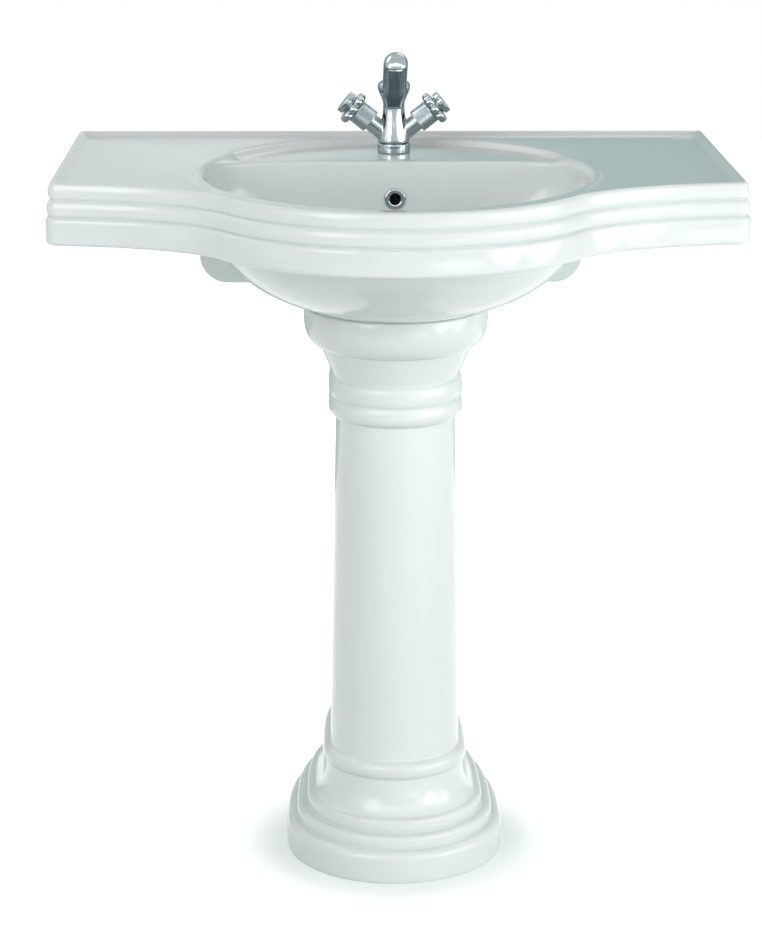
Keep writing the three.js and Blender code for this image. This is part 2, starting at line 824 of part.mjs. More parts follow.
// A hollow or swelling curve between two points of the profile, bent towards a third
function bent(from, towards, to, steps) {
  const curve = new THREE.QuadraticBezierCurve(...[from, towards, to].map((p) => new THREE.Vector2(...p)));
  return curve.getPoints(steps).slice(1).map((p) => p.toArray());
}

// Levels of the pedestal above the floor: the base builds up from the floor, and the collar and the
// capital hang down from the basin's foot.
function pedestalLevels() {
  const lowStep = plinthHeight + lowStepHeight;
  const neckFoot = lowStep + highStepHeight;
  const neckTop = neckFoot + neckHeight;
  const top = footLevel - gap;
  const capitalFoot = top - capitalHeight;
  const coneFoot = capitalFoot - coneHeight;
  const collarGroove = coneFoot - upperBeadHeight;
  return {
    lowStep,
    neckFoot,
    neckTop,
    columnFoot: neckTop + anchorBeadHeight,
    columnTop: collarGroove - lowerBeadHeight,
    collarGroove,
    coneFoot,
    capitalFoot,
    top,
  };
}

function pedestalProfile(at) {
  return [
    [plinthRadius - stepRound / 4, 0],
    ...roundedStep(plinthRadius, stepRound / 2, plinthHeight, lowStepRadius - stepRound / 4, plinthRound),
    ...roundedStep(lowStepRadius, plinthHeight + stepRound / 2, at.lowStep, highStepRadius - stepRound / 4),
    ...roundedStep(highStepRadius, at.lowStep + stepRound / 2, at.neckFoot, neckFootRadius),
    ...bent([neckFootRadius, at.neckFoot], [neckRadius, at.neckFoot + stepRound * 3],
      [neckRadius, at.neckTop], 4),
    ...bead(neckRadius, anchorBeadRadius, columnFootRadius, at.neckTop, at.columnFoot),
    [columnTopRadius, at.columnTop],
    ...bead(columnTopRadius, collarBeadRadius, collarGrooveRadius, at.columnTop, at.collarGroove),
    ...bead(collarGrooveRadius, collarBeadRadius, coneFootRadius, at.collarGroove, at.coneFoot).slice(1),
    [coneTopRadius, at.capitalFoot],
    ...bent([capitalFootRadius, at.capitalFoot], [capitalRadius, at.capitalFoot + stepRound * 2],
      [capitalRadius, mix(at.capitalFoot, at.top, capitalFaceShare)], 4),
    [capitalRadius, at.top - stepRound / 2],
    [capitalRadius - stepRound / 2, at.top],
  ];
}

// The pedestal's hollow from the top down: wide under the basin, narrow in the column, wide again
// in the foot
function pedestalHollow(at) {
  return [
    [capitalRadius - capitalWall, at.top],
    [capitalRadius - capitalWall, at.capitalFoot + 2 * pedestalWall],
    [coneFootRadius, mix(at.coneFoot, at.capitalFoot, hollowFlareShare)],
    [columnTopRadius - pedestalWall, at.collarGroove],
    [columnFootRadius - pedestalWall, at.columnFoot + 2 * pedestalWall],
    [neckRadius - neckWall, at.neckTop],
    [neckRadius, at.neckFoot],
    [plinthRadius - plinthWall, plinthHeight - stepRound],
    [plinthRadius - plinthWall, 0],
  ];
}

// The plan at one radius: a half circle at the front, then sides that draw in towards the open back
function pedestalPath() {
  const path = [];
  const drawnIn = (y) => (1 - (y / pedestalRearDepth) ** pedestalRearPower) ** (1 / pedestalRearPower);
  for (let k = pedestalRearSteps; k > 0; k--) {
    const y = pedestalBack * k / pedestalRearSteps;
    path.push((r) => [r * drawnIn(y), y]);
  }
  for (let k = 0; k <= pedestalFrontSteps; k++) {
    const a = -quarter * 2 * k / pedestalFrontSteps;
    path.push((r) => [r * Math.cos(a), r * Math.sin(a)]);
  }
  for (let k = 1; k <= pedestalRearSteps; k++) {
    const y = pedestalBack * k / pedestalRearSteps;
    path.push((r) => [-r * drawnIn(y), y]);
  }
  return path;
}

function pedestal() {
  const at = pedestalLevels();
  const section = [...pedestalProfile(at), ...pedestalHollow(at)];
  return piece('pedestal', carried(section, pedestalPath()), ceramic());
}

// Tap

function tapBodyProfile() {
  const swell = new THREE.CubicBezierCurve(
    new THREE.Vector2(bodyFootRadius, bodyFoot),
    new THREE.Vector2(bodyFootRadius * bodySwellShare, mix(bodyFoot, bodyWaistHeight, lowBendShare)),
    new THREE.Vector2(bodyWaistRadius, mix(bodyFoot, bodyWaistHeight, highBendShare)),
    new THREE.Vector2(bodyWaistRadius, bodyWaistHeight),
  );
  const head = new THREE.CubicBezierCurve(
    new THREE.Vector2(bodyWaistRadius, bodyWaistHeight),
    new THREE.Vector2(bodyWaistRadius, mix(bodyWaistHeight, headHeight, lowBendShare)),
    new THREE.Vector2(headRadius, mix(bodyWaistHeight, headHeight, highBendShare)),
    new THREE.Vector2(headRadius, headHeight),
  );
  const dome = new THREE.EllipseCurve(0, headHeight, headRadius, bodyHeight - headHeight, 0, quarter);
  return [
    [0, gap], [bodySpigotRadius, gap], [bodySpigotRadius, bodyFoot],
    ...swell.getPoints(7).map((p) => p.toArray()),
    ...head.getPoints(6).slice(1).map((p) => p.toArray()),
    ...dome.getPoints(4).slice(1, -1).map((p) => p.toArray()),
    [0, bodyHeight],
  ];
}

// The spout's cross-sections from the body's axis forward, as [reach, foot, top, half width]. Top
// and foot rise along curves of their own, and the nose then closes down on the lip like a dome.
function spoutStations() {
  const top = new THREE.QuadraticBezierCurve(
    new THREE.Vector2(0, spoutRootTop),
    new THREE.Vector2(spoutBendReach, spoutBendTop),
    new THREE.Vector2(noseReach, noseTop),
  );
  const foot = new THREE.QuadraticBezierCurve(
    new THREE.Vector2(0, spoutRootFoot),
    new THREE.Vector2(spoutBendReach, spoutBendFoot),
    new THREE.Vector2(noseReach, mouthHeight),
  );
  const stations = spoutShares.map((share) => {
    const above = top.getPoint(share);
    const below = foot.getPoint(share);
    return [above.x, below.y, above.y, mix(spoutRootWidth, spoutHalfWidth, share)];
  });
  for (const share of noseShares) {
    const closing = Math.sqrt(1 - share ** 2);
    stations.push([
      noseReach + noseLength * share,
      mix(lipHeight, mouthHeight, closing),
      mix(lipHeight, noseTop, closing),
      spoutHalfWidth * Math.sqrt(closing),
    ]);
  }
  return stations;
}

// Upright sections, one per station: a round arch above squarer lower corners
function spout() {
  const rings = spoutStations().map(([reach, foot, top, halfWidth]) => {
    const ring = [];
    const side = mix(foot, top, spoutSideShare);
    for (let k = 0; k < smallFacets; k++) {
      const a = turn * k / smallFacets;
      const p = Math.sin(a) < 0 ? spoutFootPower : 2;
      const bulge = (Math.abs(Math.cos(a)) ** p + Math.abs(Math.sin(a)) ** p) ** (-1 / p);
      const height = bulge * Math.sin(a) * (Math.sin(a) < 0 ? side - foot : top - side);
      ring.push([halfWidth * bulge * Math.cos(a), -reach, side + height]);
    }
    return ring;
  });
  return loft(rings, false);
}

// Turns a solid that stands on Z at the tap's axis along one of the two arms.
function alongArm(solid, side) {
  const lean = side * (quarter - armAngle) / degree;
  return moved(solid.rotate([0, lean, 0]), 0, 0, armHeight);
}

function mixerBody() {
  let body = turned(tapBodyProfile());
  for (const side of [-1, 1]) {
    const arm = turned([[0, 0], [armRadius, 0], [armRadius, armLength], [0, armLength]], smallFacets);
    body = body.add(alongArm(arm, side));
  }
  body = body.subtract(turned(collar(bodySpigotRadius, armLength, -overrun, bodyFoot)));
  body = body.add(spout());
  for (const side of [-1, 1]) {
    const bore = rod(cartridgeBoreRadius, armLength - cartridgeBoreDepth, armLength + overrun);
    body = body.subtract(alongArm(bore, side));
    const inlet = rod(inletRadius + gap, 0, inletHexHeight);
    body = body.subtract(moved(inlet, side * inletSpacing / 2, inletSpacing / 4, 0));
  }
  body = body.subtract(moved(rod(studRadius + gap, 0, inletHexHeight), 0, -nutRadius, 0));
  const mouth = rod(aeratorRadius + gap, mouthHeight - overrun, mouthHeight + aeratorHeight);
  body = body.subtract(moved(mouth, 0, -mouthReach, 0));
  return piece('mixer_body', body, chrome());
}

function aerator() {
  const top = mouthHeight + aeratorHeight - gap;
  const foot = mouthHeight - aeratorWall;
  const screenRadius = aeratorRadius - aeratorWall;
  const housing = turned(collar(screenRadius, aeratorRadius, foot, top), smallFacets);
  const insert = rod(screenRadius - gap, foot + aeratorWall, top - aeratorWall);
  return [
    piece('aerator_housing', moved(housing, 0, -mouthReach, 0), chrome()),
    piece('aerator_insert', moved(insert, 0, -mouthReach, 0), plastic()),
  ];
}

function tapBaseRing() {
  const low = tapSealThickness + 2 * gap;
  const high = low + baseRingHeight;
  const bore = bodySpigotRadius + gap;
  const ring = turned([
    [bore, low], [baseRingRadius - baseRingRound, low], [baseRingRadius, low + baseRingRound],
    [baseRingRadius, high - baseRingRound], [baseRingRadius - baseRingRound, high], [bore, high], [bore, low],
  ]);
  const seal = turned(collar(bodySpigotRadius + gap, tapSealRadius, gap, gap + tapSealThickness));
  return [piece('mixer_base_ring', ring, chrome()), piece('mixer_base_seal', seal, rubber())];
}

// The lobed ring that the fingers turn: round lobes with hollows between them
function lobedOutline(radius) {
  const points = [];
  const lobe = radius * Math.sin(turn / gripLobes / 2) * lobeShare;
  for (let n = 0; n < gripLobes; n++) {
    const centre = turn * n / gripLobes;
    const cx = (radius - lobe) * Math.cos(centre);
    const cy = (radius - lobe) * Math.sin(centre);
    for (let k = 0; k <= lobeFacets; k++) {
      const a = centre + (k / lobeFacets - 1 / 2) * lobeArc;
      points.push([cx + lobe * Math.cos(a), cy + lobe * Math.sin(a)]);
    }
  }
  return points;
}

// One valve and its handle, standing on Z; the arm that carries it leans them out
function handleSet(prefix) {
  const barrelEnd = barrelStart + barrelLength;
  const gripStart = barrelEnd + gap;
  const gripEnd = gripStart + gripThickness;
  const hubEnd = gripEnd + gripHubLength;
  const capStart = hubEnd + gap;
  const collarStart = armLength + gap;
  const collarEnd = collarStart + cartridgeCollarThickness;
  const noseEnd = barrelEnd - barrelFloor - gap;

  const boreFloor = armLength - cartridgeBoreDepth + gap;
  const noseBore = spindleRadius + gap;
  const cartridge = turned([
    [0, boreFloor], [cartridgeRadius, boreFloor], [cartridgeRadius, collarStart],
    [cartridgeCollarRadius, collarStart], [cartridgeCollarRadius, collarEnd],
    [cartridgeNoseRadius, collarEnd], [cartridgeNoseRadius, noseEnd], [noseBore, noseEnd],
    [noseBore, collarStart], [0, collarStart],
  ], smallFacets);
  const screwFoot = gripEnd - handleScrewLength;
  const spindle = rod(spindleRadius, collarStart + gap, gripEnd)
    .subtract(rod(handleScrewRadius + gap, screwFoot - gap, gripEnd + overrun));
  const barrel = turned([
    [barrelBoreRadius, barrelStart], [barrelRadius, barrelStart], [barrelRadius, barrelEnd],
    [noseBore, barrelEnd], [noseBore, barrelEnd - barrelFloor],
    [barrelBoreRadius, barrelEnd - barrelFloor], [barrelBoreRadius, barrelStart],
  ]);
  const grip = raised(lobedOutline(gripRadius), gripStart, gripEnd)
    .add(rod(gripHubRadius, gripEnd - gripThickness / 2, hubEnd))
    .subtract(rod(gripBoreRadius, gripStart - overrun, hubEnd + overrun));
  const screwHeadRadius = gripBoreRadius - gap;
  const screwHead = gripEnd + gap;
  const screw = turned([
    [0, screwFoot], [handleScrewRadius, screwFoot], [handleScrewRadius, screwHead],
    [screwHeadRadius, screwHead], [screwHeadRadius, hubEnd - gap], [0, hubEnd - gap],
  ], smallFacets);
  const chamfer = capThickness / 8;
  const cap = turned([
    [0, capStart], [capRadius - chamfer, capStart], [capRadius, capStart + chamfer],
    [capRadius, capStart + capThickness - chamfer], [capRadius - chamfer, capStart + capThickness],
    [0, capStart + capThickness],
  ]);
  return [
    piece(`${prefix}_valve_cartridge`, cartridge, brass()),
    piece(`${prefix}_spindle`, spindle, brass()),
    piece(`${prefix}_handle_barrel`, barrel, chrome()),
    piece(`${prefix}_handle_grip`, grip, chrome()),
    piece(`${prefix}_handle_screw`, screw, steel()),
    piece(`${prefix}_handle_cap`, cap, chrome()),
  ];
}

// Stud, horseshoe washers and nut that pull the tap down on the ledge, and the two inlet tails.
// Heights are measured from the ledge.
function tapFixing() {
  const under = deckUnderside - ledgeLevel;
  const studY = -nutRadius;
  const rubberTop = under - gap;
  const steelTop = rubberTop - clampRubberThickness - gap;
  const nutTop = steelTop - clampSteelThickness - gap;
  const inletY = inletSpacing / 4;
  const window = raised(
    rectangle(-inletSpacing, studY + nutRadius / 2, inletSpacing, inletY + inletHexRadius + gap * 2),
    -overrun, overrun,
  );
  const plate = (thickness) => rod(clampRadius, 0, thickness, roundFacets)
    .subtract(moved(rod(studRadius + gap, -overrun, thickness + overrun), 0, studY, 0))
    .subtract(window);
  const parts = [
    piece('clamp_rubber', moved(plate(clampRubberThickness), 0, 0, rubberTop - clampRubberThickness), rubber()),
    piece('clamp_plate', moved(plate(clampSteelThickness), 0, 0, steelTop - clampSteelThickness), steel()),
  ];
  const stud = moved(rod(studRadius, inletHexHeight - gap - studLength, inletHexHeight - gap), 0, studY, 0);
  const nut = raised(hexagon(nutRadius), nutTop - nutHeight, nutTop).subtract(
    rod(studRadius + gap, nutTop - nutHeight - overrun, nutTop + overrun),
  );
  parts.push(piece('mixer_stud', stud, brass()), piece('mixer_nut', moved(nut, 0, studY, 0), brass()));
  for (const [name, side] of [['hot', -1], ['cold', 1]]) {
    const top = inletHexHeight - gap;
    const foot = top - inletLength;
    const tail = rod(inletRadius, foot, top)
      .add(raised(hexagon(inletHexRadius), foot + inletHexHeight, foot + 2 * inletHexHeight))
      .subtract(rod(inletRadius / 2, foot - overrun, top - gap));
    parts.push(piece(`${name}_inlet_tail`, moved(tail, side * inletSpacing / 2, inletY, 0), brass()));
  }
  return parts;
}

function tap() {
  const group = new THREE.Group();
  group.position.set(0, tapSetback, ledgeLevel);
  group.add(mixerBody(), ...aerator(), ...tapBaseRing(), ...tapFixing());
  for (const [name, side] of [['hot', -1], ['cold', 1]]) {
    const arm = new THREE.Group();
    arm.position.set(0, 0, armHeight);
    arm.rotation.y = side * (quarter - armAngle);
    arm.add(...handleSet(name));
    group.add(arm);
  }
  return group;
}

// Waste and overflow ring

function waste() {
  const seat = floorLevel - drainSeatDepth;
  const flangeTop = seat + gap + wasteSealThickness + gap + wasteFlangeThickness;
  const flangeFoot = flangeTop - wasteFlangeThickness;
  const tubeFoot = flangeFoot - wasteTubeLength;
  const tailFoot = flangeFoot - wasteTubeLength - wasteTailLength;
  const slope = wasteTubeRadius - wasteTailRadius;
  const boreTop = flangeTop - wasteFlangeThickness / 2;
  const body = turned([
    [wasteBoreRadius, boreTop], [wasteFlangeRadius - wasteFlangeThickness, flangeTop],
    [wasteFlangeRadius, flangeFoot], [wasteTubeRadius, flangeFoot], [wasteTubeRadius, tubeFoot],
    [wasteTailRadius, tubeFoot - slope], [wasteTailRadius, tailFoot], [wasteTailBoreRadius, tailFoot],
    [wasteTailBoreRadius, tubeFoot - slope], [wasteBoreRadius, tubeFoot],
    [wasteBoreRadius, boreTop],
  ]);
  const slotTop = bossLevel + drainBossDepth / 2 + passageHeight / 2;
  const slot = raised(
    rectangle(-passageHeight, 0, passageHeight, wasteTubeRadius + overrun), slotTop - passageHeight, slotTop,
  );
  const bridgeTop = slotTop - passageHeight - gap;
  const guideFloor = bridgeTop - plugGuideRadius * 7 / 4;
  const bridge = raised(
    rectangle(-plugGuideRadius / 2, -wasteBoreRadius - gap, plugGuideRadius / 2, wasteBoreRadius + gap),
    bridgeTop - plugGuideRadius, bridgeTop,
  ).add(rod(plugGuideRadius, bridgeTop - plugGuideRadius * 2, bridgeTop))
    .subtract(rod(plugStemRadius + gap, guideFloor, bridgeTop + overrun));
  const sealTop = flangeFoot - gap;
  const sealFoot = sealTop - wasteSealThickness;
  const upperSeal = turned(collar(wasteTubeRadius + gap, wasteFlangeRadius, sealFoot, sealTop));
  const nutTop = bossLevel - gap - trapWasherThickness - gap;
  const lowerSeal = turned(collar(
    wasteTubeRadius + gap, backNutRadius - gap, bossLevel - gap - trapWasherThickness, bossLevel - gap,
  ));
  const nut = raised(hexagon(backNutRadius), nutTop - backNutHeight, nutTop)
    .subtract(rod(wasteTubeRadius + gap, nutTop - backNutHeight - overrun, nutTop + overrun, roundFacets));
  const plugFoot = flangeTop + plugLift;
  const stemFoot = guideFloor + gap + plugLift;
  const plugEdge = plugFoot + plugThickness / 2;
  const dome = new THREE.EllipseCurve(0, plugEdge, plugRadius, plugThickness * 3 / 4, 0, quarter);
  const plug = turned([
    [0, stemFoot], [plugStemRadius, stemFoot], [plugStemRadius, plugFoot], [plugRadius, plugFoot],
    ...dome.getPoints(4).slice(0, -1).map((p) => p.toArray()),
    [0, plugFoot + plugThickness * 5 / 4],
  ]);
  const group = new THREE.Group();
  group.position.set(0, -drainSetback, 0);
  group.add(
    piece('waste_body', body.subtract(slot).add(bridge), chrome()),
    piece('waste_flange_seal', upperSeal, rubber()),
    piece('waste_washer', lowerSeal, rubber()),
    piece('waste_back_nut', nut, brass()),
    piece('waste_plug', plug, chrome()),
  );
  return group;
}

// How far back the bowl's rear wall is at one level
function bowlWallAt(level) {
  const rise = (level - floorLevel) / (ledgeLevel - bowlEdgeRound - floorLevel);
  return mix(drainSeatRadius + drainSeatDepth - drainSetback, bowlBack, bowlRun(rise));
}

// The ring leans with the bowl's wall; its bush is slimmer than the hole, to stay clear of it.
function overflowRing() {
  const bush = overflowHoleRadius - 4 * gap;
  const bore = bush - overflowRingThickness / 2;
  const face = overflowRingThickness;
  const ring = turned([
    [bore, -overflowBushLength], [bush, -overflowBushLength], [bush, gap], [overflowRingRadius, gap],
    [overflowRingRadius, gap + face / 2], [overflowRingRadius - face / 2, gap + face],
    [bore + face / 2, gap + face], [bore, gap + face / 2], [bore, -overflowBushLength],
  ]);
  const mesh = piece('overflow_ring', ring, chrome());
  const level = rimHeight - overflowDrop;
  const lower = bowlWallAt(level - overflowRingRadius);
  const upper = bowlWallAt(level + overflowRingRadius);
  mesh.rotation.x = quarter - Math.atan2(upper - lower, 2 * overflowRingRadius);
  mesh.position.set(0, (lower + upper) / 2 - 2 * gap, level);
  return mesh;
}

// Bottle trap

function trap() {
  const seat = floorLevel - drainSeatDepth;
  const tailFoot = seat + 2 * gap + wasteSealThickness - wasteTubeLength - wasteTailLength;
  const bore = wasteTailRadius + gap;
  const neck = bore + trapWall;
  const top = tailFoot + trapNutHeight;
  const nutTop = top + gap + trapWasherThickness + gap + trapWall;
  const nutFoot = nutTop - trapNutHeight;
  const shoulder = nutFoot - gap;
  const outletLevel = shoulder - outletClearance - outletNutRadius;
  const foot = outletLevel - outletNutRadius - outletClearance - trapSkirtHeight;
  const bodyBore = trapRadius - trapWall;
  const dip = bore + dipTubeWall;

  const nut = turned([
    [bore, nutTop], [trapNutRadius, nutTop], [trapNutRadius, nutFoot], [neck + gap, nutFoot],
    [neck + gap, nutTop - trapWall], [bore, nutTop - trapWall], [bore, nutTop],
  ]);
  const washer = turned(collar(bore, neck, top + gap, top + gap + trapWasherThickness));
  const shell = turned([
    [bore, top], [neck, top], [neck, shoulder], [trapRadius, shoulder - trapWall], [trapRadius, foot],
    [bodyBore, foot], [bodyBore, shoulder - 2 * trapWall], [dip, shoulder - 2 * trapWall],
    [dip, top - dipTubeLength], [bore, top - dipTubeLength], [bore, top],
  ]);
  const spigotRadius = outletRadius + gap + outletWall;
  const nutEnd = trapRadius + outletNutLength;
  const spigot = moved(laidBack(rod(spigotRadius, bodyBore, nutEnd)), 0, 0, outletLevel);
  const outletBore = laidBack(rod(outletRadius + gap, dip + gap, trapRadius + 2 * outletNutLength));
  const cupTop = foot - gap;
  const cupFoot = cupTop - trapCupHeight;
  const cupRound = trapRadius * (1 - cupFloorShare);
  const cup = turned([
    [0, cupFoot], [trapRadius - cupRound, cupFoot], [trapRadius, cupFoot + cupRound],
    [trapRadius, cupTop - trapSkirtHeight / 2], [trapSkirtRadius, cupTop - trapSkirtHeight / 2 + trapWall],
    [trapSkirtRadius, foot + trapSkirtHeight], [trapRadius + gap, foot + trapSkirtHeight],
    [trapRadius + gap, cupTop - trapWasherThickness], [bodyBore, cupTop - trapWasherThickness],
    [bodyBore, cupFoot + cupRound + trapWall], [trapRadius - cupRound - trapWall, cupFoot + trapWall],
    [0, cupFoot + trapWall],
  ]);
  const seal = turned(collar(bodyBore + gap, trapRadius, cupTop - trapWasherThickness + gap, cupTop));
  const outletNut = laidBack(turned(collar(spigotRadius + gap, outletNutRadius, trapRadius + gap, nutEnd)));
  const pipeEnd = wallReach + drainSetback - gap;
  const pipe = moved(laidBack(turned(
    collar(outletRadius - outletWall, outletRadius, trapRadius + gap, pipeEnd), smallFacets,
  )), 0, 0, outletLevel);
  const flange = moved(laidBack(turned([
    [outletRadius + gap, pipeEnd - wallFlangeDepth], [outletRadius + 2 * outletWall, pipeEnd - wallFlangeDepth],
    [wallFlangeRadius, pipeEnd - outletWall], [wallFlangeRadius, pipeEnd], [outletRadius + gap, pipeEnd],
    [outletRadius + gap, pipeEnd - wallFlangeDepth],
  ])), 0, 0, outletLevel);

  const group = new THREE.Group();
  group.position.set(0, -drainSetback, 0);
  group.add(
    piece('trap_inlet_nut', nut, chrome()),
    piece('trap_washer', washer, rubber()),
    piece('trap_body', shell.add(spigot).subtract(moved(outletBore, 0, 0, outletLevel)), chrome()),
    piece('trap_cup', cup, chrome()),
    piece('trap_cup_seal', seal, rubber()),
    piece('trap_outlet_nut', moved(outletNut, 0, 0, outletLevel), chrome()),
    piece('trap_outlet_pipe', pipe, chrome()),
    piece('wall_flange', flange, chrome()),
  );
  return group;
}

const model = new THREE.Group();
model.add(basin(), pedestal(), tap(), waste(), overflowRing(), trap());

const box = new THREE.Box3().setFromObject(model);
const middle = box.getCenter(new THREE.Vector3());
model.position.set(-middle.x, -middle.y, -box.min.z);

const object = new THREE.Group();
object.add(model);
object.updateMatrixWorld(true);

export default object;
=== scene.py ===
# %% [markdown]
# # A pedestal basin in glazed ceramic and chrome
# The solid model of the basin is loaded first, as a frame that stays where it is. Every surface
# that the eye meets is then worked out again with many more points, from the same sizes as the
# solid, because glaze and chrome show each flat facet as a broken highlight. A moulded profile is
# a row of numbers, so numpy is the natural tool: whole surfaces come out of a few array formulas.

# %% Load the frame
import bpy
import json
import math
import numpy as np
from mathutils import Matrix, Vector
from mathutils.geometry import tessellate_polygon


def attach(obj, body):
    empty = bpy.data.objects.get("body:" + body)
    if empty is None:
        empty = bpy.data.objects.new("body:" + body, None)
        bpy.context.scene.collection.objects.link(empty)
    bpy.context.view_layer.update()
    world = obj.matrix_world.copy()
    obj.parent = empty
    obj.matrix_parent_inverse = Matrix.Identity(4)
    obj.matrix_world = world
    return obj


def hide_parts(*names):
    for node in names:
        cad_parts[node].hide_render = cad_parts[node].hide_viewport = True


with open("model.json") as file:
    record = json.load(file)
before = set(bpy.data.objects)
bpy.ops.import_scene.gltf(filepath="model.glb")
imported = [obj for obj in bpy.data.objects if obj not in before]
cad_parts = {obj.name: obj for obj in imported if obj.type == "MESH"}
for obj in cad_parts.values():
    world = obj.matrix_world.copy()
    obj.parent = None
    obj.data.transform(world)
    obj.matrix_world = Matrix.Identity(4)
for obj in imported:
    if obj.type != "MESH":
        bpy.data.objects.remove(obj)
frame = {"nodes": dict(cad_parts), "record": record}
bpy.context.scene.view_settings.view_transform = "Standard"
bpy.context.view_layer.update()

# %% [markdown]
# ## Sizes
# The sizes are in millimetres about the pedestal's axis, as a maker's drawing has them. One
# function moves a finished surface to the frame's place and turns it into metres, so no formula
# below has to carry the shift or the scale.

# %% Sizes shared by several pieces
MM = 0.001
AXIS_SHIFT = 41.5
WALL = 265.0
RIM = 875.5
DECK = 870.0
LEDGE = 868.0
BOWL_FLOOR = 718.5


def placed(points):
    """Points about the pedestal's axis in mm, moved back by the axis shift and scaled to metres."""
    points = np.asarray(points, dtype=float)
    return (points + np.array([0.0, AXIS_SHIFT, 0.0])) * MM


def mix(a, b, t):
    """a at t = 0, b at t = 1, in a straight line between."""
    return a + (b - a) * t


def smooth_step(value, low, high):
    """0 below low, 1 above high, and the cubic 3t^2 - 2t^3 between."""
    t = np.clip((value - low) / (high - low), 0.0, 1.0)
    return t * t * (3 - 2 * t)


# %% [markdown]
# ## From arrays to meshes
# A surface here is a grid of points: rows one way, columns the other. Joining each cell to its
# neighbours gives two triangles. Where a row shrinks to a point, as at a pole, its points are
# welded and the flat triangles are dropped. The signed volume says whether the faces look
# outwards, and turns them if they don't.

# %% Grid helpers
WELD = 2e-7


def grid_faces(rows, columns, closed_rows, closed_columns):
    """Corner numbers of two triangles per cell; a closed direction wraps to its start."""
    row = np.arange(rows if closed_rows else rows - 1)
    column = np.arange(columns if closed_columns else columns - 1)
    r, c = np.meshgrid(row, column, indexing="ij")
    a = r * columns + c
    b = ((r + 1) % rows) * columns + c
    d = r * columns + (c + 1) % columns
    e = ((r + 1) % rows) * columns + (c + 1) % columns
    first = np.stack([a, b, e], axis=-1).reshape(-1, 3)
    second = np.stack([a, e, d], axis=-1).reshape(-1, 3)
    return np.concatenate([first, second])


def mesh_object(name, points, triangles, sharp=40.0):
    """Welds equal points, drops flat triangles, turns the faces outwards and makes the object."""
    points = placed(points)
    keys = np.round(points / WELD).astype(np.int64)
    first, index = np.unique(keys, axis=0, return_index=True, return_inverse=True)[1:]
    corners = index.reshape(-1)[triangles]
    corners = corners[np.all(corners != np.roll(corners, 1, axis=1), axis=1)]
    places = points[first]
    p, q, r = (places[corners[:, k]] for k in range(3))
    if np.einsum("ij,ij->", p, np.cross(q, r)) < 0:
        corners = corners[:, [0, 2, 1]]
    mesh = bpy.data.meshes.new(name)
    mesh.vertices.add(len(places))
    mesh.vertices.foreach_set("co", places.ravel())
    mesh.loops.add(corners.size)
    mesh.loops.foreach_set("vertex_index", corners.ravel().astype(np.int32))
    mesh.polygons.add(len(corners))
    mesh.polygons.foreach_set("loop_start", np.arange(0, corners.size, 3, dtype=np.int32))
    mesh.update(calc_edges=True)
    mesh.validate()
    mesh.shade_smooth()
    mesh.set_sharp_from_angle(angle=math.radians(sharp))
    thing = bpy.data.objects.new(name, mesh)
    bpy.context.scene.collection.objects.link(thing)
    print(f"{name}: {len(places)} points, {len(corners)} triangles")
    return thing


def grid_object(name, grid, closed_rows=False, closed_columns=False, sharp=40.0):
    """One object from an array of rows x columns x 3 points."""
    rows, columns = grid.shape[:2]
    faces = grid_faces(rows, columns, closed_rows, closed_columns)
    return mesh_object(name, grid.reshape(-1, 3), faces, sharp)


# %% [markdown]
# Turned parts, slabs with eased rims and round holes come up again and again on this object, as
# they do in a workshop with a lathe, a saw and a drill. Each has one function here, and a Boolean
# step joins or cuts the results, because a real casting has its bosses and holes in one skin.

# %% Solids of revolution, slabs and joins
def turned(profile, columns=96, bulge=None):
    """Grid of a profile of [radius, height] turned about Z; bulge may change the radius at each
    angle and height, for ribs, lobes and threads."""
    profile = np.asarray(profile, dtype=float)
    a = np.linspace(0, 2 * math.pi, columns, endpoint=False)
    r = np.repeat(profile[:, :1], columns, axis=1)
    z = np.repeat(profile[:, 1:], columns, axis=1)
    if bulge is not None:
        r = r + bulge(a[None, :], z, r)
    return np.stack([r * np.cos(a), r * np.sin(a), z], axis=2)


def eased(points, ease, steps=4, closed=True):
    """Rounds each corner of an outline with a short quadratic curve that starts and ends at most
    ease from the corner, and no further than 0.45 of the edge."""
    points = [np.asarray(p, dtype=float) for p in points]
    count = len(points)
    out = []
    for k, corner in enumerate(points):
        if not closed and k in (0, count - 1):
            out.append(corner)
            continue
        before, after = points[k - 1], points[(k + 1) % count]
        into, away = corner - before, after - corner
        run_in, run_out = np.linalg.norm(into), np.linalg.norm(away)
        start = corner - into / run_in * min(ease, 0.45 * run_in)
        end = corner + away / run_out * min(ease, 0.45 * run_out)
        for t in np.linspace(0, 1, steps + 1):
            out.append((1 - t) ** 2 * start + 2 * t * (1 - t) * corner + t * t * end)
    return np.array(out)


def set_down(points, at=(0, 0, 0), lean=0.0, lift=0.0, tilt=0.0):
    """Leans points about Y by lean degrees at a height, tips them about X by tilt degrees and
    moves them to a place."""
    points = np.asarray(points, dtype=float)
    c, s = math.cos(math.radians(lean)), math.sin(math.radians(lean))
    x, y, z = points[..., 0], points[..., 1], points[..., 2]
    x, z = x * c + z * s, -x * s + z * c
    c, s = math.cos(math.radians(tilt)), math.sin(math.radians(tilt))
    y, z = y * c - z * s, y * s + z * c
    return np.stack([x + at[0], y + at[1], z + lift + at[2]], axis=-1)


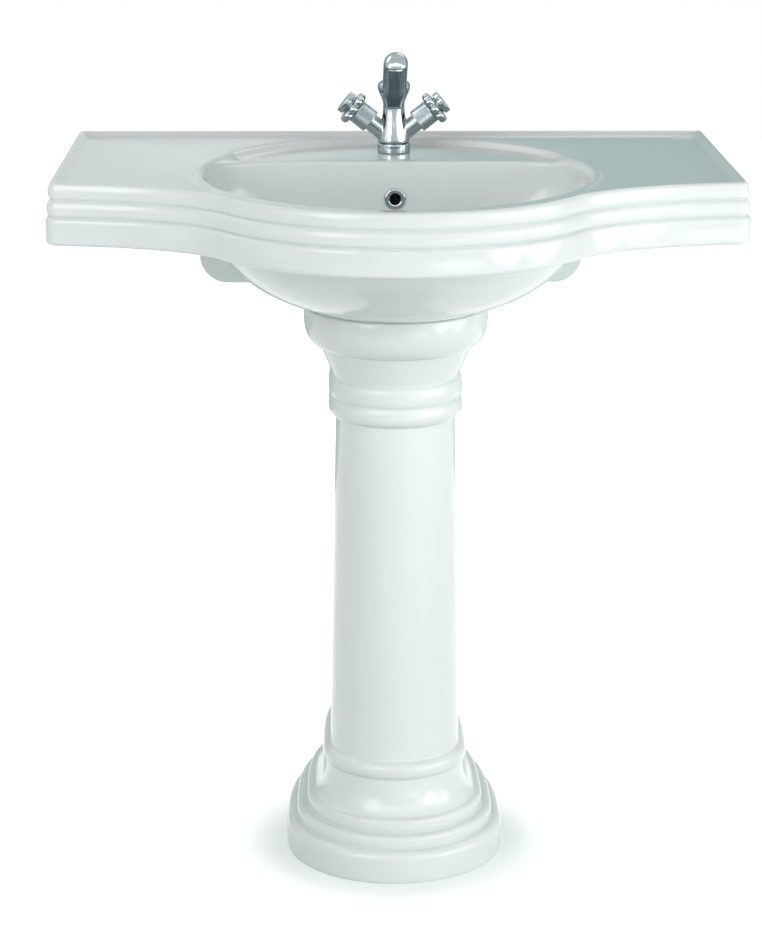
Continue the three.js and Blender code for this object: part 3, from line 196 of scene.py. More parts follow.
def extruded(outline_points, start, end, axis="z", ease=1.0):
    """Points and triangles of a slab: an outline pushed along an axis, with eased rims made by
    drawing the outline in along its corners' bisectors, and both faces filled."""
    flat = np.asarray(outline_points, dtype=float)
    ahead = np.roll(flat, -1, axis=0) - flat
    behind = flat - np.roll(flat, 1, axis=0)
    ahead /= np.linalg.norm(ahead, axis=1)[:, None]
    behind /= np.linalg.norm(behind, axis=1)[:, None]
    area = np.sum(flat[:, 0] * np.roll(flat[:, 1], -1) - np.roll(flat[:, 0], -1) * flat[:, 1])
    normal = np.stack([-(ahead + behind)[:, 1], (ahead + behind)[:, 0]], axis=1) * (1 if area > 0 else -1)
    normal /= np.linalg.norm(normal, axis=1)[:, None]
    a = np.linspace(0, math.pi / 2, 4)
    rows = [(start + ease * (1 - math.sin(t)), ease * (1 - math.cos(t))) for t in a[::-1]]
    rows += [(end - ease * (1 - math.sin(t)), ease * (1 - math.cos(t))) for t in a]
    grid = np.stack([np.column_stack([flat + normal * inset, np.full(len(flat), h)]) for h, inset in rows])
    if axis == "x":
        grid = grid[..., [2, 0, 1]]
    if axis == "y":
        grid = grid[..., [0, 2, 1]]
    count = len(flat)
    sides = grid_faces(len(rows), count, False, True)
    cap = np.array(tessellate_polygon([[Vector((x, y, 0)) for x, y in flat]]))
    points = grid.reshape(-1, 3)
    low, high = cap, cap + (len(rows) - 1) * count
    return points, agreed(sides, low, high)


def agreed(sides, low, high):
    """Turns the two filled faces so that each shared edge runs opposite ways, as on a closed
    surface, and returns all triangles together."""
    edges = {(t[k], t[(k + 1) % 3]) for t in sides.tolist() for k in range(3)}
    kept = [sides]
    for cap in (low, high):
        same = any((t[k], t[(k + 1) % 3]) in edges for t in cap.tolist() for k in range(3))
        kept.append(cap[:, [0, 2, 1]] if same else cap)
    return np.concatenate(kept)


def frozen(thing, sharp=40.0):
    """Replaces an object's mesh by what its modifiers make of it."""
    graph = bpy.context.evaluated_depsgraph_get()
    made = bpy.data.meshes.new_from_object(thing.evaluated_get(graph))
    thing.modifiers.clear()
    thing.data = made
    made.name = thing.name
    made.shade_smooth()
    made.set_sharp_from_angle(angle=math.radians(sharp))
    return thing


def combined(thing, others, operation, sharp=40.0):
    """Unites an object with others, or cuts them out of it, and removes the others."""
    for other in others:
        step = thing.modifiers.new(other.name, "BOOLEAN")
        step.operation = operation
        step.solver = "EXACT"
        step.object = other
    frozen(thing, sharp)
    for other in others:
        bpy.data.objects.remove(other)
    print(f"{thing.name}: {len(thing.data.polygons)} faces after {operation.lower()}")
    return thing


def rod(name, radius, start, end, at=(0, 0, 0), tilt=0.0, columns=64, lean=0.0, lift=0.0):
    """A plain closed cylinder, used to cut holes and to add hubs."""
    grid = turned([[0, start], [radius, start], [radius, end], [0, end]], columns)
    return grid_object(name, set_down(grid, at, lean, lift, tilt), closed_columns=True)


# %% [markdown]
# ## Camera
# The photograph was taken from a little left of the middle, above the rim, looking down by about
# fifteen degrees. The distance was found from how the rim and the foot narrow towards each other.

# %% The camera
CAMERA_AT = (-80.7, -3221.4, 1387.4)
CAMERA_DOWN = 15.4
CAMERA_RIGHT = 1.12
CAMERA_ROLL = 0.1
SENSOR = 36.0
FOCAL_PIXELS = 2706.2
PHOTO_PIXELS = 930.0
LENS = SENSOR * FOCAL_PIXELS / PHOTO_PIXELS

camera_data = bpy.data.cameras.new("camera")
camera_data.sensor_fit = "AUTO"
camera_data.sensor_width = SENSOR
camera_data.lens = LENS
camera = bpy.data.objects.new("camera", camera_data)
bpy.context.scene.collection.objects.link(camera)
down, right, slant = (math.radians(v) for v in (CAMERA_DOWN, CAMERA_RIGHT, CAMERA_ROLL))
forward = Vector((math.sin(right) * math.cos(down), math.cos(right) * math.cos(down), -math.sin(down)))
across = forward.cross(Vector((0, 0, 1))).normalized()
upward = across.cross(forward)
row_x = across * math.cos(slant) + upward * math.sin(slant)
row_y = upward * math.cos(slant) - across * math.sin(slant)
turn = Matrix((row_x, row_y, -forward)).transposed().to_4x4()
camera.matrix_world = Matrix.Translation(placed(CAMERA_AT)) @ turn
bpy.context.scene.camera = camera
print("lens, mm:", round(LENS, 2))

# %% [markdown]
# ## Backdrop and light
# The photograph is cut out on white, with a soft grey-green shadow at the foot. The world and the
# floor show a plain white to the camera, and to the rays that come off metal or pass through
# glass, but their own light on the object stays modest. The floor adds that white on top of its
# lit colour, and less of it close to the foot, so the real shadow stays and the dimmer glow paints
# a soft shadow round the foot as well. Backdrop, lamps and finishes are small trees of nodes, so
# the kinds of node that come up again have a function each.

# %% Node helpers
def ranged(tree, source, start, end, low=0.0, high=1.0, smooth=True):
    """Runs from low to high as the source runs from start to end, as a smooth step or straight."""
    node = tree.nodes.new("ShaderNodeMapRange")
    node.interpolation_type = "SMOOTHSTEP" if smooth else "LINEAR"
    for name, value in (("From Min", start), ("From Max", end), ("To Min", low), ("To Max", high)):
        node.inputs[name].default_value = value
    tree.links.new(source, node.inputs["Value"])
    return node.outputs["Result"]

def reckoned(tree, operation, first, second):
    """The sum or the product of two values, held between 0 and 1."""
    node = tree.nodes.new("ShaderNodeMath")
    node.operation = operation
    node.use_clamp = True
    tree.links.new(first, node.inputs[0])
    tree.links.new(second, node.inputs[1])
    return node.outputs["Value"]

def distance_from(tree, source, point):
    """How far a position is from a point."""
    node = tree.nodes.new("ShaderNodeVectorMath")
    node.operation = "DISTANCE"
    node.inputs[1].default_value = point
    tree.links.new(source, node.inputs[0])
    return node.outputs["Value"]

def blended(tree, share, first, second):
    """The first colour at share 0, the second at 1; each is a colour or another node's output."""
    node = tree.nodes.new("ShaderNodeMix")
    node.data_type = "RGBA"
    tree.links.new(share, node.inputs["Factor"])
    for place, colour in ((6, first), (7, second)):
        if isinstance(colour, tuple):
            node.inputs[place].default_value = (*colour, 1)
        else:
            tree.links.new(colour, node.inputs[place])
    return node.outputs[2]

def emptied(thing):
    """The cleared node tree of a world or a material."""
    thing.use_nodes = True
    thing.node_tree.nodes.clear()
    return thing.node_tree

def seen_directly(tree):
    """1 for the camera's own rays and for mirrored and refracted ones, and 0 for all others."""
    ray = tree.nodes.new("ShaderNodeLightPath")
    mirrored = reckoned(tree, "ADD", ray.outputs["Is Camera Ray"], ray.outputs["Is Glossy Ray"])
    return reckoned(tree, "ADD", mirrored, ray.outputs["Is Transmission Ray"])

def studio_plane(name, corners, finish):
    """A flat four-sided face for the studio."""
    mesh = bpy.data.meshes.new(name)
    mesh.from_pydata(corners, [], [(0, 1, 2, 3)])
    mesh.materials.append(finish)
    plane = bpy.data.objects.new(name, mesh)
    bpy.context.scene.collection.objects.link(plane)
    return plane

# %% Floor and world
WHITE = (1, 1, 1, 1)
WORLD_COLOUR = (0.86, 0.93, 0.92, 1)
WORLD_LIGHT = 0.1
FLOOR_COLOUR = (0.6, 0.66, 0.65, 1)
FLOOR_CORNERS = ((-6, -5, 0), (6, -5, 0), (6, 6, 0), (-6, 6, 0))
SHADE_REACH = (0.135, 0.27)
SHADE_WHITE = 0.36

world = bpy.data.worlds.new("studio")
bpy.context.scene.world = world
tree = emptied(world)
lit = tree.nodes.new("ShaderNodeBackground")
lit.inputs["Color"].default_value = WORLD_COLOUR
lit.inputs["Strength"].default_value = WORLD_LIGHT
shown = tree.nodes.new("ShaderNodeBackground")
shown.inputs["Color"].default_value = WHITE
shown.inputs["Strength"].default_value = 1.0
choose = tree.nodes.new("ShaderNodeMixShader")
tree.links.new(seen_directly(tree), choose.inputs["Fac"])
tree.links.new(lit.outputs["Background"], choose.inputs[1])
tree.links.new(shown.outputs["Background"], choose.inputs[2])
world_out = tree.nodes.new("ShaderNodeOutputWorld")
tree.links.new(choose.outputs["Shader"], world_out.inputs["Surface"])

floor_finish = bpy.data.materials.new("pale_floor")
tree = emptied(floor_finish)
matt = tree.nodes.new("ShaderNodeBsdfDiffuse")
matt.inputs["Color"].default_value = FLOOR_COLOUR
floor_place = tree.nodes.new("ShaderNodeTexCoord")
reach = distance_from(tree, floor_place.outputs["Object"], tuple(placed((0, 0, 0))))
# Painted shadow: the white glow is dimmed near the foot, so the floor there is darker as well as showing its
# real shadow.
floor_glow_dimmed_at_foot = ranged(tree, reach, *SHADE_REACH, SHADE_WHITE, 1.0)
glow = tree.nodes.new("ShaderNodeEmission")
glow.inputs["Color"].default_value = WHITE
tree.links.new(reckoned(tree, "MULTIPLY", seen_directly(tree), floor_glow_dimmed_at_foot), glow.inputs["Strength"])
both = tree.nodes.new("ShaderNodeAddShader")
tree.links.new(matt.outputs["BSDF"], both.inputs[0])
tree.links.new(glow.outputs["Emission"], both.inputs[1])
floor_out = tree.nodes.new("ShaderNodeOutputMaterial")
tree.links.new(both.outputs["Shader"], floor_out.inputs["Surface"])
floor = studio_plane("floor", FLOOR_CORNERS, floor_finish)
print("backdrop:", world.name, floor.name)

# %% [markdown]
# The deck is seen so flat that its glaze mirrors whatever stands behind the basin. In the
# photograph that is something grey-green on the right, and nearly white on the left. A
# photographer would set up a card there, so one stands behind the basin, and only mirrored rays
# see it. Above the rim it runs from a greenish white to grey-green. Below the rim it is darker on
# the left, and gives the hull and the column the dark outlines of the photograph.

# %% Grey card behind the basin
CARD_Y = 1.6
CARD_LEFT, CARD_RIGHT = -2.2, 2.2
CARD_FOOT, CARD_TOP = 0.01, 1.9
CARD_TURNS_GREY = (-0.3, 0.32)
CARD_FADES_UP = (1.75, 1.4)
CARD_RIM = (0.95, 0.85)
ABOVE_RIM = ((0.9, 1.0, 0.985), (0.39, 0.59, 0.58))
BELOW_RIM = ((0.4, 0.56, 0.54), (0.6, 0.74, 0.72))

card_finish = bpy.data.materials.new("grey_card")
tree = emptied(card_finish)
card_place = tree.nodes.new("ShaderNodeTexCoord")
card_axes = tree.nodes.new("ShaderNodeSeparateXYZ")
tree.links.new(card_place.outputs["Object"], card_axes.inputs["Vector"])
rightward = ranged(tree, card_axes.outputs["X"], *CARD_TURNS_GREY)
fade_up = ranged(tree, card_axes.outputs["Z"], *CARD_FADES_UP)
above = blended(tree, reckoned(tree, "MULTIPLY", rightward, fade_up), *ABOVE_RIM)
below = blended(tree, rightward, *BELOW_RIM)
low_share = ranged(tree, card_axes.outputs["Z"], *CARD_RIM, smooth=False)
card_glow = tree.nodes.new("ShaderNodeEmission")
tree.links.new(blended(tree, low_share, above, below), card_glow.inputs["Color"])
card_out = tree.nodes.new("ShaderNodeOutputMaterial")
tree.links.new(card_glow.outputs["Emission"], card_out.inputs["Surface"])
card_corners = [(CARD_LEFT, CARD_Y, CARD_FOOT), (CARD_RIGHT, CARD_Y, CARD_FOOT),
                (CARD_RIGHT, CARD_Y, CARD_TOP), (CARD_LEFT, CARD_Y, CARD_TOP)]
card = studio_plane("grey_card", card_corners, card_finish)
card.visible_camera = False
card.visible_diffuse = False
card.visible_transmission = False
card.visible_shadow = False
print("card behind the basin, m:", CARD_Y)

# %% [markdown]
# Large soft lamps stand round the basin, as in a studio. Seen in a mirror, a plain square lamp
# has hard edges, so each one fades to its rim. The weakest ones only fill shadows, and the
# mirrored rays don't see those.

# %% Lamps
AIM = Vector((0, 0, 0.6))
GLOW_CORE = 0.3
GLOW_RIM = 0.5
GLOW_GAIN = 1.97

def softbox(name, place, size, power, mirrored=True):
    """A rectangular lamp aimed at the pedestal's middle. Its cloth glows most in the middle and
    fades to nothing at the rim: gain x (1 - smooth step of the distance from the middle), where
    the gain keeps the lamp's whole power."""
    data = bpy.data.lights.new(name, "AREA")
    data.shape = "RECTANGLE"
    data.size, data.size_y = size
    data.energy = power
    data.use_nodes = True
    tree = data.node_tree
    cloth = tree.nodes.new("ShaderNodeNewGeometry")
    middle = distance_from(tree, cloth.outputs["Parametric"], (0.5, 0.5, 0.0))
    fade = ranged(tree, middle, GLOW_CORE, GLOW_RIM, GLOW_GAIN, 0.0)
    tree.links.new(fade, tree.nodes["Emission"].inputs["Strength"])
    lamp = bpy.data.objects.new(name, data)
    lamp.location = place
    lamp.visible_glossy = mirrored
    lamp.rotation_euler = (AIM - Vector(place)).to_track_quat("-Z", "Y").to_euler()
    bpy.context.scene.collection.objects.link(lamp)

softbox("right", (2.4, -1.6, 0.95), (1.4, 2.2), 22)
softbox("right_side", (2.7, -0.5, 0.9), (1.6, 2.2), 17)
softbox("right_high", (1.7, -2.3, 1.9), (1.7, 2.6), 10)
softbox("left_high", (-1.7, -2.3, 1.9), (2.0, 2.9), 33)
softbox("left_side", (-2.5, -1.3, 1.0), (1.6, 2.2), 5)
softbox("front_high", (0, -3.0, 2.6), (3.2, 1.8), 14)
softbox("front_low", (1.2, -2.2, 0.3), (1.6, 0.6), 4)
softbox("front_middle", (-0.2, -3.3, 0.7), (1.6, 1.2), 5, mirrored=False)
softbox("back_high", (-1.6, 0.7, 2.6), (2.0, 2.0), 9)
softbox("back_low", (0.9, 2.3, 2.6), (1.8, 1.4), 9)
softbox("back_right", (2.2, 2.3, 0.7), (1.4, 1.6), 14, mirrored=False)
softbox("back_left", (-2.2, 2.3, 0.7), (1.4, 1.6), 14, mirrored=False)
print("lamps:", len(bpy.data.lights))

# %% [markdown]
# ## Finishes
# Glaze is white and glassy, with a cool grey-green cast. Its mirror images are sharp, and very
# shallow, wide waves in the bump keep them from looking machined. In grooves and hollows its colour
# is painted darker and greener as painted shade; an ambient occlusion node finds those places from
# the shape itself. Inside the overflow passage the clay is painted near black, as painted shade.

# %% Finish helpers
def new_finish(name):
    """A material with its Principled shader, its node tree and a texture coordinate node."""
    finish = bpy.data.materials.new(name)
    finish.use_nodes = True
    tree = finish.node_tree
    shader = tree.nodes["Principled BSDF"]
    where = tree.nodes.new("ShaderNodeTexCoord")
    return finish, shader, tree, where

def noise(tree, where, scale, detail):
    """A noise texture that reads the object's own coordinates, in metres."""
    node = tree.nodes.new("ShaderNodeTexNoise")
    node.inputs["Scale"].default_value = scale
    node.inputs["Detail"].default_value = detail
    tree.links.new(where.outputs["Object"], node.inputs["Vector"])
    return node.outputs["Fac"]

def spread(tree, source, low, high):
    """Maps a texture's 0.3 to 0.7 onto a range of values."""
    return ranged(tree, source, 0.3, 0.7, low, high, smooth=False)

def tinted(tree, source, first, second):
    """A colour that runs between two tints as the texture rises from 0.35 to 0.65."""
    ramp = tree.nodes.new("ShaderNodeValToRGB")
    for element, place, tint in zip(ramp.color_ramp.elements, (0.35, 0.65), (first, second)):
        element.position = place
        element.color = (*tint, 1)
    tree.links.new(source, ramp.inputs["Fac"])
    return ramp.outputs["Color"]

def bumped(tree, shader, source, distance, strength):
    """A bump of a given depth in metres, from a texture."""
    node = tree.nodes.new("ShaderNodeBump")
    node.inputs["Distance"].default_value = distance
    node.inputs["Strength"].default_value = strength
    tree.links.new(source, node.inputs["Height"])
    tree.links.new(node.outputs["Normal"], shader.inputs["Normal"])

def simple_finish(name, tints, tint_noise, gloss, gloss_noise=None, metallic=0.0):
    """A finish whose tint and roughness follow noises of a given scale and detail. Without a
    noise of its own, the roughness follows the one of the tint."""
    finish, shader, tree, where = new_finish(name)
    shader.inputs["Metallic"].default_value = metallic
    cloud = noise(tree, where, *tint_noise)
    tree.links.new(tinted(tree, cloud, *tints), shader.inputs["Base Color"])
    grain = noise(tree, where, *gloss_noise) if gloss_noise else cloud
    tree.links.new(spread(tree, grain, *gloss), shader.inputs["Roughness"])
    return finish, shader, tree, where

# %% Glazed ceramic with painted groove shade, and near-black passage clay as painted shade
GROOVE_SHADE_REACH = 0.014
GROOVE_SHADE_AO_RANGE = (0.45, 0.92)
GROOVE_SHADE_COLOUR = (0.70, 0.765, 0.755)

glaze, shader, tree, where = new_finish("glazed_ceramic")
body_colour = tinted(tree, noise(tree, where, 3.0, 3.0), (0.80, 0.855, 0.845), (0.84, 0.885, 0.875))
# Painted shade: ambient occlusion darkens and greens the glaze colour in grooves and hollows.
hollows = tree.nodes.new("ShaderNodeAmbientOcclusion")
hollows.samples = 6
hollows.only_local = True
hollows.inputs["Distance"].default_value = GROOVE_SHADE_REACH
depth = ranged(tree, hollows.outputs["AO"], *GROOVE_SHADE_AO_RANGE, 1.0, 0.0, smooth=False)
tree.links.new(blended(tree, depth, body_colour, GROOVE_SHADE_COLOUR), shader.inputs["Base Color"])
gloss = spread(tree, noise(tree, where, 60.0, 3.0), 0.08, 0.12)
tree.links.new(gloss, shader.inputs["Roughness"])
shader.inputs["IOR"].default_value = 1.5
bumped(tree, shader, noise(tree, where, 14.0, 1.0), 0.00015, 0.5)
# Painted shade: near-black clay for the inside of the overflow passage, where little light gets in.
passage_painted_shade = simple_finish("passage_painted_shade", ((0.045, 0.05, 0.05), (0.085, 0.09, 0.088)), (150.0, 3.0),
                          (0.8, 0.95))[0]
print("finishes:", glaze.name, passage_painted_shade.name)

# %% [markdown]
# Chrome is a mirror, so it is only as dark as the room: among white walls it would vanish, and the
# photograph shows it mid grey with white streaks and dark edges. Its colour is therefore a
# blue-grey, and its tint at the edge darker. The hidden metals, rubber and plastic only need a
# tint and a roughness that wander a little, so they share one function.

# %% Chrome, brass, steel, rubber and plastic
chrome, shader, tree, where = simple_finish(
    "polished_chrome", ((0.37, 0.42, 0.44), (0.45, 0.50, 0.52)), (40.0, 2.0), (0.09, 0.15), (220.0, 2.0), 1.0)
shader.inputs["Specular Tint"].default_value = (0.46, 0.53, 0.56, 1)
bumped(tree, shader, noise(tree, where, 60.0, 1.0), 0.00002, 0.6)
brass = simple_finish("machined_brass", ((0.58, 0.44, 0.22), (0.70, 0.56, 0.30)), (70.0, 3.0),
                      (0.25, 0.42), (400.0, 2.0), 1.0)[0]
steel = simple_finish("plated_steel", ((0.52, 0.53, 0.54), (0.64, 0.65, 0.66)), (90.0, 3.0),
                      (0.3, 0.45), (500.0, 2.0), 1.0)[0]
rubber = simple_finish("black_rubber", ((0.018, 0.019, 0.02), (0.035, 0.036, 0.038)), (120.0, 3.0),
                       (0.7, 0.9))[0]
plastic = simple_finish("white_plastic", ((0.66, 0.66, 0.64), (0.74, 0.74, 0.72)), (100.0, 2.0),
                        (0.4, 0.55))[0]
FINISH_OF = {"ceramic": glaze, "chrome": chrome, "brass": brass,
             "steel": steel, "rubber": rubber, "plastic": plastic}
print("finish of each slot:", {slot: finish.name for slot, finish in FINISH_OF.items()})

def dress(piece, finish, body, slot, *nodes_replaced):
    """Gives a new piece its finish, the body it moves with and the nodes it stands for."""
    piece.data.materials.clear()
    piece.data.materials.append(finish)
    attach(piece, body)
    if nodes_replaced:
        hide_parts(*nodes_replaced)


# %% [markdown]
# ## The basin
# The basin is one casting. Seen from above, its edge is a bow, a sweep out to each wing and a
# straight side, and the same outline is used again and again, drawn in by a few millimetres, for
# every roll and groove of the apron. The raised oval and the bowl follow rays from the oval's
# centre. So the whole skin is a stack of closed rings, each with the same number of points, from
# the drain out over the rim, down the apron and back underneath: a grid with both ways closed.

# %% Outline of the basin
HALF_WIDTH = 407.0
BOW_FRONT = 348.0
BOW_RADIUS = 242.0
BOW_END = math.radians(56)
WING_FRONT = 152.0
SWEEP_ANGLE = math.radians(7)
SWEEP_HANDLES = (50.0, 110.0)
CORNERS = (15.0, 10.0)
TIGHTEST = 2.0
STEPS = {"bow": 52, "sweep": 44, "corner": 8, "side": 84, "back": 52}


def outline(inset, back_inset):
    """Closed outline in mm, from the middle of the front, counter-clockwise seen from above: an
    arc of the bow's radius less the inset, a cubic Bezier to the wing, an arc of the corner's
    radius less the inset, a straight side, a corner and half the back; then the mirror image."""
    bow = BOW_RADIUS - inset
    centre = BOW_RADIUS - BOW_FRONT
    a = np.linspace(0, BOW_END, STEPS["bow"], endpoint=False)
    arc = np.stack([bow * np.sin(a), centre - bow * np.cos(a)], axis=1)
    corner = max(CORNERS[0] - inset, TIGHTEST)
    hub = np.array([HALF_WIDTH - inset - corner, inset + corner - WING_FRONT])
    start = np.array([bow * math.sin(BOW_END), centre - bow * math.cos(BOW_END)])
    end = hub + corner * np.array([math.sin(SWEEP_ANGLE), -math.cos(SWEEP_ANGLE)])
    leave = start + SWEEP_HANDLES[0] * np.array([math.cos(BOW_END), math.sin(BOW_END)])
    arrive = end - SWEEP_HANDLES[1] * np.array([math.cos(SWEEP_ANGLE), math.sin(SWEEP_ANGLE)])
    t = np.linspace(0, 1, STEPS["sweep"], endpoint=False)[:, None]
    sweep = (1 - t) ** 3 * start + 3 * (1 - t) ** 2 * t * leave + 3 * (1 - t) * t ** 2 * arrive + t ** 3 * end
    a = np.linspace(SWEEP_ANGLE - math.pi / 2, 0, STEPS["corner"], endpoint=False)
    front = hub + corner * np.stack([np.cos(a), np.sin(a)], axis=1)
    turn = max(CORNERS[1] - inset, TIGHTEST)
    hub_back = np.array([HALF_WIDTH - inset - turn, WALL - back_inset - turn])
    y = np.linspace(hub[1], hub_back[1], STEPS["side"], endpoint=False)
    side = np.stack([np.full_like(y, HALF_WIDTH - inset), y], axis=1)
    a = np.linspace(0, math.pi / 2, STEPS["corner"], endpoint=False)
    rear = hub_back + turn * np.stack([np.cos(a), np.sin(a)], axis=1)
    x = np.linspace(hub_back[0], 0, STEPS["back"] + 1)
    back = np.stack([x, np.full_like(x, WALL - back_inset)], axis=1)
    half = np.concatenate([arc, sweep, front, side, rear, back])
    return np.concatenate([half, half[-2:0:-1] * np.array([-1.0, 1.0])])


print("points round the basin:", len(outline(0, 0)))

# %% Rays of the bowl and the oval
OVAL = (236.0, 264.0)
OVAL_BACK = 60.0
OVAL_BAND = 11.0
BOWL_BACK = 58.0
DRAIN_BACK = 20.0
CROWN_INSET = 8.0
BACK_CROWN = 5.0
OVAL_SLOPE = 8.0
FLAT_BAND = 18.0
CHANNEL = 50.0
POCKET = 40.0
BORDER = 14.0
BOWL_CORNER = 7.0

crown = outline(CROWN_INSET, BACK_CROWN)
border_foot = outline(CROWN_INSET + BORDER, BACK_CROWN + BORDER)
edge = outline(0, 0)
ray_angle = np.arctan2(edge[:, 1] + OVAL_BACK, edge[:, 0])
oval_r = 1 / np.hypot(np.cos(ray_angle) / OVAL[0], np.sin(ray_angle) / OVAL[1])
side_r = oval_r - OVAL_BAND
rise = np.maximum(np.sin(ray_angle), 1e-3)
back_r = (BOWL_BACK + OVAL_BACK) / rise
rounded_r = (side_r ** -BOWL_CORNER + back_r ** -BOWL_CORNER) ** (-1 / BOWL_CORNER)
bowl_r = np.where(np.sin(ray_angle) > 0.02, rounded_r, side_r)
room = np.hypot(crown[:, 0], crown[:, 1] + OVAL_BACK) - oval_r
deck_share = smooth_step(room, FLAT_BAND, CHANNEL)
under_share = smooth_step(room, FLAT_BAND, POCKET)
ledge_share = smooth_step(oval_r - bowl_r, OVAL_BAND + 2, OVAL_BAND + 42)
bowl_x = bowl_r * np.cos(ray_angle)
bowl_y = bowl_r * np.sin(ray_angle) - OVAL_BACK
drain_angle = np.arctan2(bowl_y + DRAIN_BACK, bowl_x)
edge_reach = np.hypot(bowl_x, bowl_y + DRAIN_BACK)


def about_oval(radius, height):
    """Ring of points at a radius from the oval's centre along each ray."""
    return np.stack([radius * np.cos(ray_angle), radius * np.sin(ray_angle) - OVAL_BACK,
                     np.broadcast_to(height, ray_angle.shape)], axis=1)


def about_drain(radius, height):
    """Ring of points at a radius from the drain's centre, towards the bowl's edge on each ray."""
    return np.stack([radius * np.cos(drain_angle), radius * np.sin(drain_angle) - DRAIN_BACK,
                     np.broadcast_to(height, ray_angle.shape)], axis=1)


def level(flat, height):
    """An outline at one height, or at a height of its own for each point."""
    return np.column_stack([flat, np.broadcast_to(height, len(flat))])


# %% Rings of the basin's skin
DRAIN_SEAT = 37.0
WALL_THICK = 14.0
HULL_FLOOR = 705.8
BOWL_POWER = 2.2
BOWL_LIP = 4.0
APRON_DROP = 72.5
CORNER_TURN = math.radians(25)


def bowl_rise(share):
    """Height share 1 - sqrt(1 - s^2.2): a shallow floor that curves up into a steep wall."""
    return 1 - np.sqrt(1 - share ** BOWL_POWER)


def roll(start, proud, end, top, bottom, first, last, steps=12):
    """Half a turn of a convex moulding as [inset, drop]: out by sine, down by cosine."""
    a = np.linspace(0, math.pi, steps + 1)[int(first * steps):int(last * steps) + 1]
    side = np.where(a < math.pi / 2, start, end)
    return np.stack([mix(side, proud, np.sin(a)), mix(top, bottom, (1 - np.cos(a)) / 2)], axis=1)


POOL_STEPS = np.array([-2.2, -1.5, -1.0, -0.6, -0.25, 0.25, 0.6, 1.0, 1.5, 2.2])

def pooled(profile, blur=1.7):
    """Profile after glazing: a bell-shaped average along its length, twice blur wide, which fills
    grooves and softens crests. More points are kept close to each corner that turns past 25 degrees."""
    legs = np.diff(profile, axis=0)
    lengths = np.linalg.norm(legs, axis=1)
    profile = profile[np.concatenate([[True], lengths > 1e-6])]
    legs, lengths = legs[lengths > 1e-6], lengths[lengths > 1e-6]
    along = np.concatenate([[0], np.cumsum(lengths)])
    turn = np.einsum("ij,ij->i", legs[:-1], legs[1:]) / (lengths[:-1] * lengths[1:])
    corners = along[1:-1][turn < math.cos(CORNER_TURN)]
    near = (corners[:, None] + blur * POOL_STEPS).ravel()
    far = along[np.min(np.abs(along[:, None] - np.append(corners, -99)), axis=1) > 2.4 * blur]
    keep = np.unique(np.round(np.clip(np.concatenate([[0, along[-1]], near, far]), 0, along[-1]), 3))
    fine = np.arange(-3 * blur, along[-1] + 3 * blur, 0.1)
    start, end = legs[0] / lengths[0], legs[-1] / lengths[-1]
    dense = np.stack([np.interp(fine, along, profile[:, k]) for k in (0, 1)], axis=1)
    dense += np.minimum(fine, 0)[:, None] * start + np.maximum(fine - along[-1], 0)[:, None] * end
    reach = np.arange(-3 * blur, 3 * blur + 0.05, 0.1)
    bell = np.exp(-(reach / blur) ** 2)
    bell /= bell.sum()
    half = len(reach) // 2
    padded = np.concatenate([dense[0] + start * 0.1 * np.arange(-half, 0)[:, None], dense,
                             dense[-1] + end * 0.1 * np.arange(1, half + 1)[:, None]])
    blurred = np.stack([np.convolve(padded[:, k], bell, mode="valid") for k in (0, 1)], axis=1)[:len(fine)]
    return np.stack([np.interp(keep, fine, blurred[:, k]) for k in (0, 1)], axis=1)


rings = []
drain_seat = eased([(23, 703), (23, 715.5), (34, 715.5), (34, 718.5), (37, 718.5)], 0.8, 3, False)
for radius, height in drain_seat[:-1]:
    rings.append(about_drain(radius, height))
for share in 1 - np.linspace(1, 0, 30) ** 1.8:
    z = mix(BOWL_FLOOR, LEDGE - BOWL_LIP, bowl_rise(share))
    rings.append(about_drain(mix(DRAIN_SEAT, edge_reach, share), z))

inner_foot = np.maximum(oval_r - 9.0, bowl_r + 6.0)
for u in np.linspace(0.06, 1, 22):
    front = (bowl_r + (oval_r - bowl_r) * (1 - math.cos(u * math.pi / 2)),
             mix(LEDGE - BOWL_LIP, RIM, math.sin(u * math.pi / 2)))
    if u < 0.3:
        a = u / 0.3 * math.pi / 2
        shelf = (bowl_r + BOWL_LIP * (1 - math.cos(a)), LEDGE - BOWL_LIP + BOWL_LIP * math.sin(a))
    elif u < 0.5:
        shelf = (mix(bowl_r + BOWL_LIP, inner_foot, (u - 0.3) / 0.2), LEDGE)
    else:
        t = (u - 0.5) / 0.5
        shelf = (mix(inner_foot, oval_r, t), mix(LEDGE, RIM, (1 - math.cos(t * math.pi)) / 2))
    rings.append(about_oval(mix(front[0], shelf[0], ledge_share), mix(front[1], shelf[1], ledge_share)))

slope = np.minimum(OVAL_SLOPE, room / 3)
deck_z = mix(RIM, DECK, deck_share)
for t in np.linspace(0, 1, 9)[1:]:
    rings.append(about_oval(oval_r + slope * t, mix(RIM, deck_z, (1 - math.cos(t * math.pi)) / 2)))
for t in np.linspace(1, 0, 9)[:-1]:
    flat = mix(crown, border_foot, deck_share[:, None] * t)
    rings.append(level(flat, mix(RIM, deck_z, (1 - math.cos(t * math.pi)) / 2)))

apron = np.concatenate([
    roll(CROWN_INSET, 3.3, 7.5, 0.0, 20.0, 0, 1),
    roll(7.5, 1.4, 5.5, 20.0, 39.5, 0, 1)[1:],
    roll(5.5, 0.0, 0.0, 39.5, 50.5, 0, 0.5)[1:],
    roll(0.0, 0.0, 5.5, 61.5, APRON_DROP, 0.5, 1),
])
for inset, drop in pooled(apron):
    rings.append(level(outline(inset, BACK_CROWN * max(0.0, 1 - drop / BACK_CROWN)), RIM - drop))

